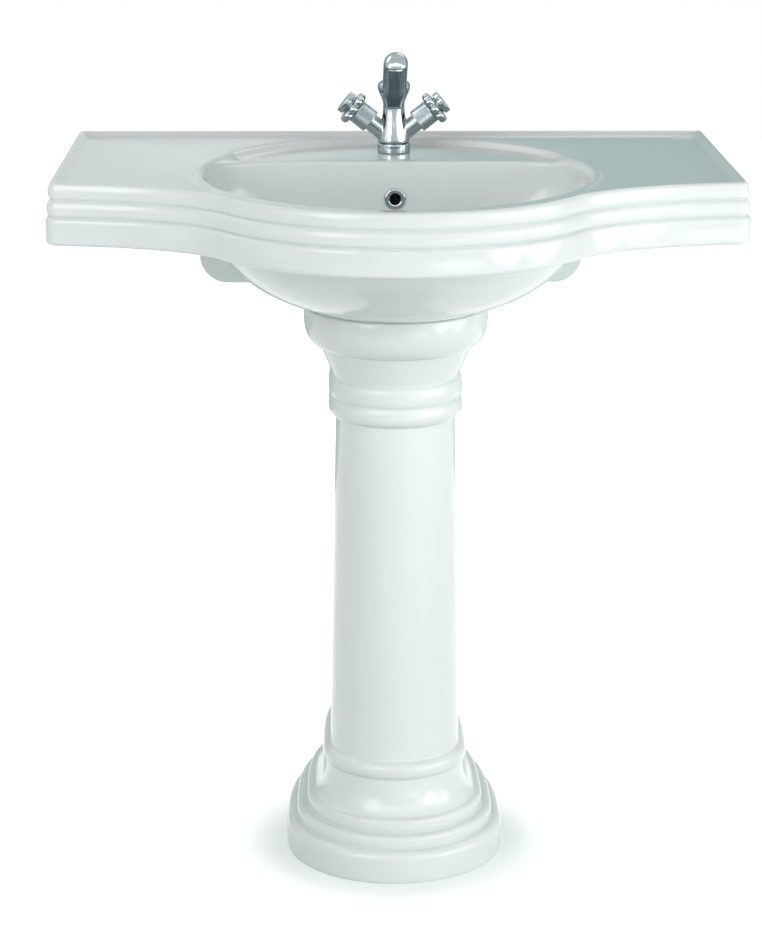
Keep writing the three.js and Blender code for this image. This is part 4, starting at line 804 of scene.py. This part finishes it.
APRON_FOOT = RIM - APRON_DROP
DECK_UNDER = 855.0
rings.append(level(outline(13.0, 16.0), APRON_FOOT))
under_z = mix(APRON_FOOT + 0.3, DECK_UNDER, under_share)
rings.append(level(outline(13.3, 16.3), under_z))
hull_top = (1 - (1 - (under_z - HULL_FLOOR) / (LEDGE - HULL_FLOOR)) ** 2) ** (1 / BOWL_POWER)
for k in np.linspace(1, 0, 24):
    share = hull_top * k
    rings.append(about_drain(mix(DRAIN_SEAT, edge_reach + WALL_THICK, share),
                             mix(HULL_FLOOR, LEDGE, bowl_rise(share))))
for radius, height in eased([(42, 705.8), (42, 694.5), (23, 694.5), (23, 702)], 2.5, 4, False)[1:]:
    rings.append(about_drain(radius, height))
basin = grid_object("glazed_basin", np.stack(rings), closed_rows=True, closed_columns=True, sharp=50)

# %% [markdown]
# Behind the bowl the casting carries on out of sight: a panel that hangs against the wall with two
# screw holes, a web at each end of it, the duct that takes the overflow down to the drain, and the
# curved foot that rests on the pedestal. Each is a slab or a turned piece, united with the skin,
# and then the passage and the holes are cut out.

# %% Panel, webs, duct and foot
PANEL = 249.0
PANEL_FOOT = 678.5
low_corner = [(PANEL - 36 * (1 - math.cos(a)), PANEL_FOOT + 36 * (1 - math.sin(a)))
              for a in np.linspace(0, math.pi / 2, 14)]
panel_outline = [(PANEL, 862.0)] + low_corner + [(-x, z) for x, z in low_corner[::-1]] + [(-PANEL, 862.0)]
panel = mesh_object("panel", *extruded(panel_outline, 249.0, 264.98, "y", 2.5))
WEB_SPANS = ((236, 248.9), (-248.9, -236))
web_foot, web_bend, web_tip = np.array([[257, 714.5], [207, 817.5], [115, 855]])
t = np.linspace(0, 1, 20)[:, None]
web_curve = (1 - t) ** 2 * web_foot + 2 * t * (1 - t) * web_bend + t * t * web_tip
web_outline = np.concatenate([web_curve, [[115, 862], [257, 862]]])
webs = [mesh_object("web", *extruded(web_outline, *ends, "x", 2.0)) for ends in WEB_SPANS]
duct_outline = eased([(0, 694.5), (84, 694.5), (84, 847.2), (66, 847.2),
                      (54.5, 744.5), (32, 712.1), (0, 712.1)], 6.0)
duct = mesh_object("duct", *extruded(duct_outline, -24, 24, "x", 4.0))

foot_section = eased([(92, 702.3), (108, 702.3), (108, 717.3), (92, 717.3)], 1.5)
a = np.linspace(-math.pi - 0.148, 0.148, 140)
foot_grid = np.stack([np.outer(np.cos(a), foot_section[:, 0]), np.outer(np.sin(a), foot_section[:, 0]),
                      np.tile(foot_section[:, 1], (len(a), 1))], axis=2)
cap = np.array(tessellate_polygon([[Vector((r, z, 0)) for r, z in foot_section]]))
last_section = (len(a) - 1) * len(foot_section)
foot_faces = agreed(grid_faces(*foot_grid.shape[:2], False, True), cap, cap + last_section)
foot = mesh_object("foot", foot_grid.reshape(-1, 3), foot_faces)
combined(basin, [panel, *webs, duct, foot], "UNION", 50)

# %% Passage and holes
passage_outline = [(0, 702.5), (76, 702.5), (76, 831.2), (66, 831.2), (66, 711.5), (0, 711.5)]
passage = mesh_object("passage", *extruded(passage_outline, -16, 16, "x", 0.5))
overflow_hole = rod("overflow_hole", 9.2, 44, 72, (0, 0, 822), -90)
tap_hole = rod("tap_hole", 17.5, 840, 880, (0, 132, 0))
fixings = [rod("fixing_hole", 7, 240, 272, (x, 0, 770.5), -90) for x in (-140, 140)]
combined(basin, [passage, overflow_hole, tap_hole, *fixings], "DIFFERENCE", 50)

# %% [markdown]
# ## The pedestal
# A potter would turn this shape, so its front half is a profile turned about the axis. Behind
# the axis the walls run on straight and draw in a little, and the back is left open for the
# pipes. The same section is therefore carried along a path shaped like a horseshoe, and the two
# ends are filled with one many-sided face each.

# %% Profile of the pedestal
def stepped(radius, bottom, top, inner, soft=5.0, steps=8):
    """A step with a quarter-round upper edge as [radius, height]."""
    a = np.linspace(0, math.pi / 2, steps)
    arc = np.stack([radius - soft * (1 - np.cos(a)), top - soft * (1 - np.sin(a))], axis=1)
    return np.concatenate([[[radius, bottom]], arc, [[inner, top]]])


def bead(start, proud, end, bottom, top, steps=16):
    """A half-round bead between two radii, out by sine and up by cosine."""
    a = np.linspace(0, math.pi, steps + 1)
    side = np.where(a < math.pi / 2, start, end)
    return np.stack([mix(side, proud, np.sin(a)), mix(bottom, top, (1 - np.cos(a)) / 2)], axis=1)


def bent(start, towards, end, steps=16):
    """A quadratic Bezier curve between two points, drawn towards a third."""
    t = np.linspace(0, 1, steps + 1)[1:, None]
    return (1 - t) ** 2 * np.array(start) + 2 * t * (1 - t) * np.array(towards) + t * t * np.array(end)


profile = np.concatenate([
    [[135.75, 0.0]],
    stepped(137.0, 2.5, 40.0, 122.75, 10.0),
    stepped(124.0, 42.5, 56.0, 109.75),
    stepped(111.0, 58.5, 73.0, 102.0),
    bent((102.0, 73.0), (86.0, 88.0), (86.0, 118.0)),
    bead(86.0, 91.0, 81.0, 118.0, 139.0),
    np.stack([np.linspace(81.0, 73.0, 30)[1:], np.linspace(139.0, 566.0, 30)[1:]], axis=1),
    bead(73.0, 82.0, 77.5, 566.0, 590.0)[1:],
    bead(77.5, 82.0, 76.0, 590.0, 616.0)[1:],
    [[92.0, 654.0]],
    [[95.0, 654.0]],
    bent((95.0, 654.0), (112.0, 664.0), (112.0, 687.6)),
    bent((112.0, 699.5), (112.0, 702.0), (109.5, 702.0), 6),
])
hollow = np.array([
    [96.0, 702.0], [96.0, 682.0], [76.0, 642.6], [59.0, 590.0], [67.0, 167.0],
    [68.0, 118.0], [86.0, 73.0], [120.0, 35.0], [120.0, 0.0],
])
profile = pooled(profile, 2.1)
section = np.concatenate([profile, hollow])
print("points up the pedestal:", len(profile))

# %% Pedestal carried along its path
REAR_END = 175.0
REAR_DEPTH = 215.0
REAR_POWER = 3.0


def horseshoe(points_front=120, points_rear=28):
    """Unit path: [share of the radius across, share of the radius forwards, distance behind]."""
    y = np.linspace(REAR_END, 0, points_rear, endpoint=False)
    drawn = (1 - (y / REAR_DEPTH) ** REAR_POWER) ** (1 / REAR_POWER)
    right = np.stack([drawn, np.zeros_like(y), y], axis=1)
    a = np.linspace(0, -math.pi, points_front)
    front = np.stack([np.cos(a), np.sin(a), np.zeros_like(a)], axis=1)
    left = right[::-1] * np.array([-1.0, 1.0, 1.0])
    return np.concatenate([right, front, left])


path = horseshoe()
radius, height = section[:, 0], section[:, 1]
pedestal_grid = np.stack([
    path[:, :1] * radius,
    path[:, 1:2] * radius + path[:, 2:],
    np.broadcast_to(height, (len(path), len(height))),
], axis=2)


def filled(points, loop):
    """Triangles that fill one flat end of the pedestal, from the outline of its section."""
    flat = [Vector((p[0], p[2], 0)) for p in points[loop]]
    return np.asarray(loop)[np.array(tessellate_polygon([flat]))]

flat_points = pedestal_grid.reshape(-1, 3)
columns = len(section)
faces = grid_faces(len(path), columns, False, True)
near = filled(flat_points, np.arange(columns))
far = filled(flat_points, np.arange(columns) + (len(path) - 1) * columns)


def facing(points, triangles, direction):
    """Turns triangles so that each looks along a direction."""
    p, q, r = (points[triangles[:, k]] for k in range(3))
    back = (np.cross(q - p, r - p) @ np.array(direction)) < 0
    result = triangles.copy()
    result[back] = result[back][:, [0, 2, 1]]
    return result


def outward(points, triangles):
    """The same triangles, all turned round if their signed volume is negative."""
    p, q, r = (points[triangles[:, k]] for k in range(3))
    middle = p.mean(0)
    volume = np.einsum("ij,ij->", p - middle, np.cross(q - middle, r - middle))
    return triangles[:, [0, 2, 1]] if volume < 0 else triangles


caps = np.concatenate([facing(flat_points, near, (0, 1, 0)), facing(flat_points, far, (0, 1, 0))])
skin = np.concatenate([outward(flat_points, faces), caps])
pedestal = mesh_object("glazed_pedestal", flat_points, skin, 50)

# %% Finish the ceramic
dress(basin, glaze, "fixed", "ceramic", "basin")
dress(pedestal, glaze, "fixed", "ceramic", "pedestal")
# The second material paints the overflow passage and hole near black, as painted shade.
basin.data.materials.append(passage_painted_shade)
centres = np.empty(3 * len(basin.data.polygons))
basin.data.polygons.foreach_get("center", centres)
x, y, z = (centres.reshape(-1, 3) / MM - np.array([0.0, AXIS_SHIFT, 0.0])).T
riser = (y > 65.6) & (z < 831.6)
run = (y > 3) & (z < 711.9)
in_duct = (np.abs(x) < 16.4) & (z > 702.2) & (y < 76.4) & (riser | run)
in_hole = (np.hypot(x, z - 822) < 9.5) & (y > 56.5) & (y < 66)
basin.data.polygons.foreach_set("material_index", (in_duct | in_hole).astype(np.int32))
print("faces of bare clay:", int((in_duct | in_hole).sum()))

# %% [markdown]
# ## The tap
# The tap's body is one casting: a waisted stem that swells into a bulb, two arms and a spout that
# climbs forward to a rounded nose. Each is drawn on its own, as a closed surface. Blender's voxel
# remesh then melts them into one skin, and a few rounds of smoothing give the soft fillets that
# polishing leaves.

# %% The body and the spout
TAP = (0.0, 132.0, LEDGE)
STUD = (0.0, 125.0, LEDGE)
TAILS = {"hot": (-7.0, 135.5, LEDGE), "cold": (7.0, 135.5, LEDGE)}
ARM_LEAN = 51.5
ARM_LIFT = 15.0


def bezier(points, steps):
    """Points of a Bezier curve of any degree, by repeated mixing between neighbours."""
    t = np.linspace(0, 1, steps + 1)[:, None]
    layer = [np.tile(np.array(p, dtype=float), (steps + 1, 1)) for p in points]
    while len(layer) > 1:
        layer = [(1 - t) * a + t * b for a, b in zip(layer, layer[1:])]
    return layer[0]


stem = bezier([(19.4, 12.9), (18.24, 33.2), (13.2, 39.96), (13.2, 58)], 30)
bulb = bezier([(13.2, 58), (13.2, 69.25), (20.2, 73), (20.2, 83)], 24)
a = np.linspace(0, math.pi / 2, 14)
dome = np.stack([20.2 * np.cos(a), 83 + 9 * np.sin(a)], axis=1)
body_profile = np.concatenate([[[0, 12.9]], stem, bulb[1:], dome[1:]])
body_profile[-1, 0] = 0
tap_body = grid_object("tap_body", set_down(turned(body_profile, 120), TAP), closed_columns=True)


def spout_grid(along=70, around=96):
    """Upright sections from the body's axis to the tip: the top and the foot climb along curves of
    their own; the nose closes like a dome; each section is an ellipse above and squarer below."""
    u = np.linspace(0, 1, along)
    top = bezier([(0, 86), (40, 116), (92, 135)], along - 1)
    foot = bezier([(0, 42), (22, 74), (92, 114.5)], along - 1)
    reach, high = top[:, 0], top[:, 1]
    low = np.interp(reach, foot[:, 0], foot[:, 1])
    half = mix(11.4, 14.7, smooth_step(u, 0.0, 0.45))
    share = np.sin(np.linspace(0, math.pi / 2, 40)[1:])
    closing = np.sqrt(np.maximum(1 - share ** 2, 0))
    reach = np.concatenate([reach, 92 + 18 * share])
    high = np.concatenate([high, mix(116, 135, closing)])
    low = np.concatenate([low, mix(116, 114.5, closing)])
    half = np.concatenate([half, 14.7 * np.sqrt(closing)])
    side = mix(low, high, 0.3)
    a = np.linspace(0, 2 * math.pi, around, endpoint=False)
    power = np.where(np.sin(a) < 0, 3.0, 2.0)
    bulge = (np.abs(np.cos(a)) ** power + np.abs(np.sin(a)) ** power) ** (-1 / power)
    rise = np.where(np.sin(a) < 0, (side - low)[:, None], (high - side)[:, None])
    grid = np.stack([half[:, None] * bulge * np.cos(a), np.repeat(-reach[:, None], around, axis=1),
                     side[:, None] + rise * bulge * np.sin(a)], axis=2)
    root = grid[:1].copy()
    root[..., 0], root[..., 2] = 0, side[0]
    return np.concatenate([root, grid])


spout = grid_object("spout", set_down(spout_grid(), TAP), closed_columns=True)
arms = []
for side in (-1, 1):
    arm = turned([[0, 10.5], [10.7, 10.5], [10.7, 40.6], [10.3, 41], [0, 41]], 96)
    arms.append(grid_object("arm", set_down(arm, TAP, side * ARM_LEAN, ARM_LIFT), closed_columns=True))
combined(tap_body, [spout, *arms], "UNION", 30)

# %% Melt and polish the body
melt = tap_body.modifiers.new("melt", "REMESH")
melt.mode = "VOXEL"
melt.voxel_size = 0.0007
polish_step = tap_body.modifiers.new("polish", "SMOOTH")
polish_step.factor = 0.5
polish_step.iterations = 16
frozen(tap_body, 180)
bores = [rod("bore", 8.6, 23, 50, TAP, 0, 64, side * ARM_LEAN, ARM_LIFT) for side in (-1, 1)]
mouth = rod("mouth", 9.9, 105, 123.5, (TAP[0], TAP[1] - 95, TAP[2]))
combined(tap_body, [*bores, mouth], "DIFFERENCE", 50)
spigot_grid = turned([[0, 0.3], [15, 0.3], [15, 13.5], [0, 13.5]], 64)
spigot = grid_object("spigot", set_down(spigot_grid, TAP), closed_columns=True)
combined(tap_body, [spigot], "UNION", 50)
seats = [rod("tail_seat", 5.3, -2, 10, at) for at in TAILS.values()]
combined(tap_body, [*seats, rod("stud_seat", 4.3, -2, 10, STUD)], "DIFFERENCE", 50)
dress(tap_body, chrome, "fixed", "chrome", "mixer_body")

# %% [markdown]
# ## Handles
# Each handle is a ribbed barrel, a ring of eight round lobes and a plain cap, all on the arm's
# axis. The ribs and lobes are a change of radius with the angle, so each piece is still one grid.

# %% Handles
def ribs(a, z, r):
    """Shallow grooves along the barrel, 72 of them, only on its outer wall and clear of its ends."""
    on_wall = smooth_step(r, 14.3, 14.5) * smooth_step(z, 38.0, 38.8) * (1 - smooth_step(z, 57.4, 58.2))
    return -0.32 * on_wall * (0.5 - 0.5 * np.cos(72 * a))


def lobed_radius(a):
    """Distance to the ring's outer edge: eight circles of 6.0 mm round a circle of 15.3 mm, with
    the hollows between them filled to 16.4 mm and softened."""
    step = math.pi / 4
    local = (a + step / 2) % step - step / 2
    inside = np.maximum(6.03 ** 2 - (15.27 * np.sin(local)) ** 2, 0)
    plain = np.maximum(15.27 * np.cos(local) + np.sqrt(inside), 16.4)
    kernel = np.hanning(9)
    wide = np.concatenate([plain[-4:], plain, plain[:4]])
    return np.convolve(wide, kernel / kernel.sum(), mode="valid")


def grip_grid(columns=384):
    """Section round the ring: bore, lower face, a full round at the lobes, upper face and hub."""
    a = np.linspace(0, 2 * math.pi, columns, endpoint=False)
    edge = lobed_radius(a)
    mid, half = 64.3, 5.0
    rows = [(np.full(columns, 4.4), 60.0), (np.full(columns, 5.0), 59.3)]
    for t in np.linspace(-math.pi / 2, math.pi / 2, 17):
        pull = 4.6 * (1 - math.cos(t) ** 0.8) if math.cos(t) > 1e-9 else 4.6
        rows.append((edge - pull, mid + half * math.sin(t)))
    hub_rows = ((11.6, 69.3), (11.0, 69.6), (11.0, 70.8), (10.5, 71.3), (4.9, 71.3), (4.4, 70.8))
    rows += [(np.full(columns, r), z) for r, z in hub_rows]
    rings = [np.stack([r * np.cos(a), r * np.sin(a), np.full(columns, z)], axis=1) for r, z in rows]
    return np.stack(rings)


barrel_profile = eased([(12.4, 37), (14.6, 37), (14.6, 59), (4.3, 59), (4.3, 56), (12.4, 56)], 0.7)
cap_profile = eased([(0, 71.6), (14, 71.6), (14, 78.6), (0, 78.6)], 1.1, 5, False)
for prefix, side in (("hot", -1), ("cold", 1)):
    lean = side * ARM_LEAN
    rows = []
    for first, second in zip(barrel_profile, np.roll(barrel_profile, -1, axis=0)):
        pieces = max(1, int(abs(second[1] - first[1]) // 0.9)) if first[0] > 14 and second[0] > 14 else 1
        rows += [mix(first, second, k / pieces) for k in range(pieces)]
    parts = (("barrel", turned(rows, 576, ribs), True), ("grip", grip_grid(), True),
             ("cap", turned(cap_profile, 96), False))
    for part, grid, closed in parts:
        piece = grid_object(f"{prefix}_{part}", set_down(grid, TAP, lean, ARM_LIFT), closed, True, 50)
        dress(piece, chrome, f"{prefix}_handle", "chrome", f"{prefix}_handle_{part}")

# %% [markdown]
# ## Round fittings
# The rings, waste, trap and pipes are all turned profiles, listed here with the body each moves
# with, its finish, its place and how far it is tipped. Corners are eased so that every edge
# catches the light.

# %% Table of turned pieces
WASTE = (0.0, -20.0, 0.0)
OUTLET = (0.0, -20.0, 550.05)
dome_edge = [(27 * math.cos(t), 727 + 3 * math.sin(t)) for t in np.linspace(0, math.pi / 2, 16)[1:-1]]
fittings = [
    ("mixer_base_ring", "fixed", "chrome", TAP, 0, 1.0,
     [(15.3, 1.6), (17.6, 1.6), (17.6, 0.35), (20, 0.35), (20, 10.8), (18.2, 12.6), (15.3, 12.6)]),
    ("mixer_base_seal", "fixed", "rubber", TAP, 0, 0.3, [(15.3, 0.3), (17.3, 0.3), (17.3, 1.3), (15.3, 1.3)]),
    ("aerator_housing", "fixed", "chrome", (0, 37, 868), 0, 0.5,
     [(8, 112.9), (9.6, 112.9), (9.6, 123.2), (8, 123.2)]),
    ("waste_flange_seal", "fixed", "rubber", WASTE, 0, 0.4,
     [(21.8, 715.8), (32.5, 715.8), (32.5, 717.3), (21.8, 717.3)]),
    ("waste_washer", "fixed", "rubber", WASTE, 0, 0.8,
     [(21.8, 691.2), (30.7, 691.2), (30.7, 694.2), (21.8, 694.2)]),
    ("overflow_ring", "fixed", "chrome", (0, 55.64, 822), 85.54, 0.9,
     [(6.7, -9), (8, -9), (8, 0.3), (13, 0.3), (13, 1.6), (11.7, 2.9), (8, 2.9), (6.7, 1.6)]),
    ("trap_inlet_nut", "fixed", "chrome", WASTE, 0, 0.8,
     [(16.1, 591.8), (23, 591.8), (23, 573.8), (19, 573.8), (19, 589.2), (16.1, 589.2)]),
    ("trap_washer", "fixed", "rubber", WASTE, 0, 0.5,
     [(16.1, 585.9), (18.7, 585.9), (18.7, 588.9), (16.1, 588.9)]),
    ("trap_cup_seal", "fixed", "rubber", WASTE, 0, 0.4,
     [(25.7, 510.6), (28, 510.6), (28, 513.3), (25.7, 513.3)]),
    ("trap_outlet_nut", "fixed", "chrome", OUTLET, -90, 0.8,
     [(18.2, 28.3), (21, 28.3), (21, 48), (18.2, 48)]),
    ("trap_outlet_pipe", "fixed", "chrome", OUTLET, -90, 0.4,
     [(14.4, 28.3), (16, 28.3), (16, 284.7), (14.4, 284.7)]),
    ("wall_flange", "fixed", "chrome", OUTLET, -90, 1.2,
     [(16.3, 273.7), (19.2, 273.7), (32, 283.1), (32, 284.7), (16.3, 284.7)]),
]
for name, body, slot, at, tilt, ease, profile_points in fittings:
    grid = set_down(turned(eased(profile_points, ease), 96), at, 0, 0, tilt)
    fitting = grid_object(f"turned_{name}", grid, True, True, 45)
    dress(fitting, FINISH_OF[slot], body, slot, name)

# %% Solid turned pieces
plug_points = [(0, 693), *eased([(0, 693), (5, 693), (5, 725), (27, 725), (27, 727)], 0.7, 4, False)[1:],
               *dome_edge, (0, 730)]
plug = grid_object("turned_plug", set_down(turned(plug_points, 96), WASTE), False, True, 45)
dress(plug, chrome, "plug", "chrome", "waste_plug")
cup_outer = eased([(0, 455.3), (19.6, 455.3), (28, 463.7), (28, 506.8), (30.5, 509.4), (30.5, 526.6),
                   (28.3, 526.6), (28.3, 510.3), (25.4, 510.3), (25.4, 466.3), (17, 457.9), (0, 457.9)],
                  1.6, 5, False)
cup = grid_object("turned_cup", set_down(turned(cup_outer, 96), WASTE), False, True, 45)
dress(cup, chrome, "fixed", "chrome", "trap_cup")

# %% Trap body and waste body
shell = eased([(16.1, 585.6), (18.7, 585.6), (18.7, 573.5), (28, 570.9), (28, 513.6), (25.4, 513.6),
               (25.4, 568.3), (17.7, 568.3), (17.7, 497.6), (16.1, 497.6)], 0.7)
trap_body = grid_object("turned_trap_body", set_down(turned(shell, 96), WASTE), True, True, 45)
outlet = rod("outlet", 17.9, 25.4, 48, OUTLET, -90)
combined(trap_body, [outlet], "UNION", 45)
combined(trap_body, [rod("outlet_bore", 16.3, 18, 60, OUTLET, -90)], "DIFFERENCE", 45)
dress(trap_body, chrome, "fixed", "chrome", "trap_body")

waste_points = eased([(18.5, 718.8), (30.1, 720.0), (32.5, 717.6), (21.5, 717.6), (21.5, 655.6),
                      (15.8, 649.9), (15.8, 567.6), (13.8, 567.6), (13.8, 649.9), (18.5, 655.6)], 0.6)
waste_body = grid_object("turned_waste_body", set_down(turned(waste_points, 96), WASTE), True, True, 45)
slot_cut = mesh_object("slot_cut", *extruded([(-9, -20), (9, -20), (9, 8), (-9, 8)], 702, 711, "z", 0.2))
combined(waste_body, [slot_cut], "DIFFERENCE", 45)
bar = mesh_object("bar", *extruded([(-4, -38.8), (4, -38.8), (4, -1.2), (-4, -1.2)], 693.7, 701.7, "z", 0.4))
hub = rod("hub", 8, 685.7, 701.7, WASTE)
combined(waste_body, [bar, hub], "UNION", 45)
combined(waste_body, [rod("guide", 5.3, 687.7, 710, WASTE)], "DIFFERENCE", 45)
dress(waste_body, chrome, "fixed", "chrome", "waste_body")

# %% Threaded stud and hexagon nuts
def thread(pitch, depth, radius):
    """A 60 degree thread: the radius falls and rises once per pitch along the axis, and the wave
    moves by one pitch for each turn."""
    def bulge(a, z, r):
        phase = (z / pitch - a / (2 * math.pi)) % 1.0
        return -depth * np.abs(2 * phase - 1) * (r > radius - 0.5)
    return bulge


stud_rows = [(0, -64.3), (3.4, -64.3), *[(4, z) for z in np.linspace(-63.8, 9.2, 420)], (3.4, 9.7), (0, 9.7)]
stud_grid = set_down(turned(stud_rows, 32, thread(1.25, 0.6, 4)), STUD)
stud = grid_object("threaded_stud", stud_grid, False, True, 60)
dress(stud, brass, "fixed", "brass", "mixer_stud")


def hexagon(radius, at=(0, 0)):
    """Six corners at a radius from a place, the first one on +X."""
    turns = [k * math.pi / 3 for k in range(6)]
    return [(at[0] + radius * math.cos(t), at[1] + radius * math.sin(t)) for t in turns]


def nut_piece(name, radius, bore, start, end, at, replaced):
    """A hexagon nut with eased rims and a plain bore."""
    nut = mesh_object(name, *extruded(eased(hexagon(radius, at), 0.8), start, end, "z", 0.8))
    combined(nut, [rod("nut_bore", bore, start - 5, end + 5, (*at, 0))], "DIFFERENCE", 45)
    dress(nut, brass, "fixed", "brass", replaced)


nut_piece("hex_mixer_nut", 7, 4.3, LEDGE - 31.4, LEDGE - 19.4, STUD[:2], "mixer_nut")
nut_piece("hex_waste_nut", 31, 21.8, 679.9, 690.9, (0, -20), "waste_back_nut")
tail_rows = eased([(2.5, -86.3), (5, -86.3), (5, 9.7), (2.5, 9.4)], 0.5)
for prefix, at in TAILS.items():
    tail = grid_object(f"{prefix}_tail", set_down(turned(tail_rows, 48), at), True, True, 45)
    flats = eased(hexagon(6.6, at), 0.6)
    grip_hex = mesh_object("tail_hex", *extruded(flats, LEDGE - 76.3, LEDGE - 66.3, "z", 0.6))
    combined(tail, [grip_hex], "UNION", 45)
    combined(tail, [rod("tail_bore", 2.5, LEDGE - 90, LEDGE + 9, (*at[:2], 0), 0, 32)], "DIFFERENCE", 45)
    dress(tail, brass, "fixed", "brass", f"{prefix}_inlet_tail")

# %% [markdown]
# ## The solids and the last lines
# The pieces of the solid model that no new piece stands for show as they are, so they get the
# finish of their slot too.

# %% Materials of the other nodes
slot_of = {entry["node"]: entry["material_slot"] for entry in frame["record"]["subparts"]}
for name, node in frame["nodes"].items():
    finish = FINISH_OF[slot_of[name]]
    if not node.material_slots:
        node.data.materials.append(finish)
    for holder in node.material_slots:
        holder.material = finish
print("solids with a finish:", len(frame["nodes"]))
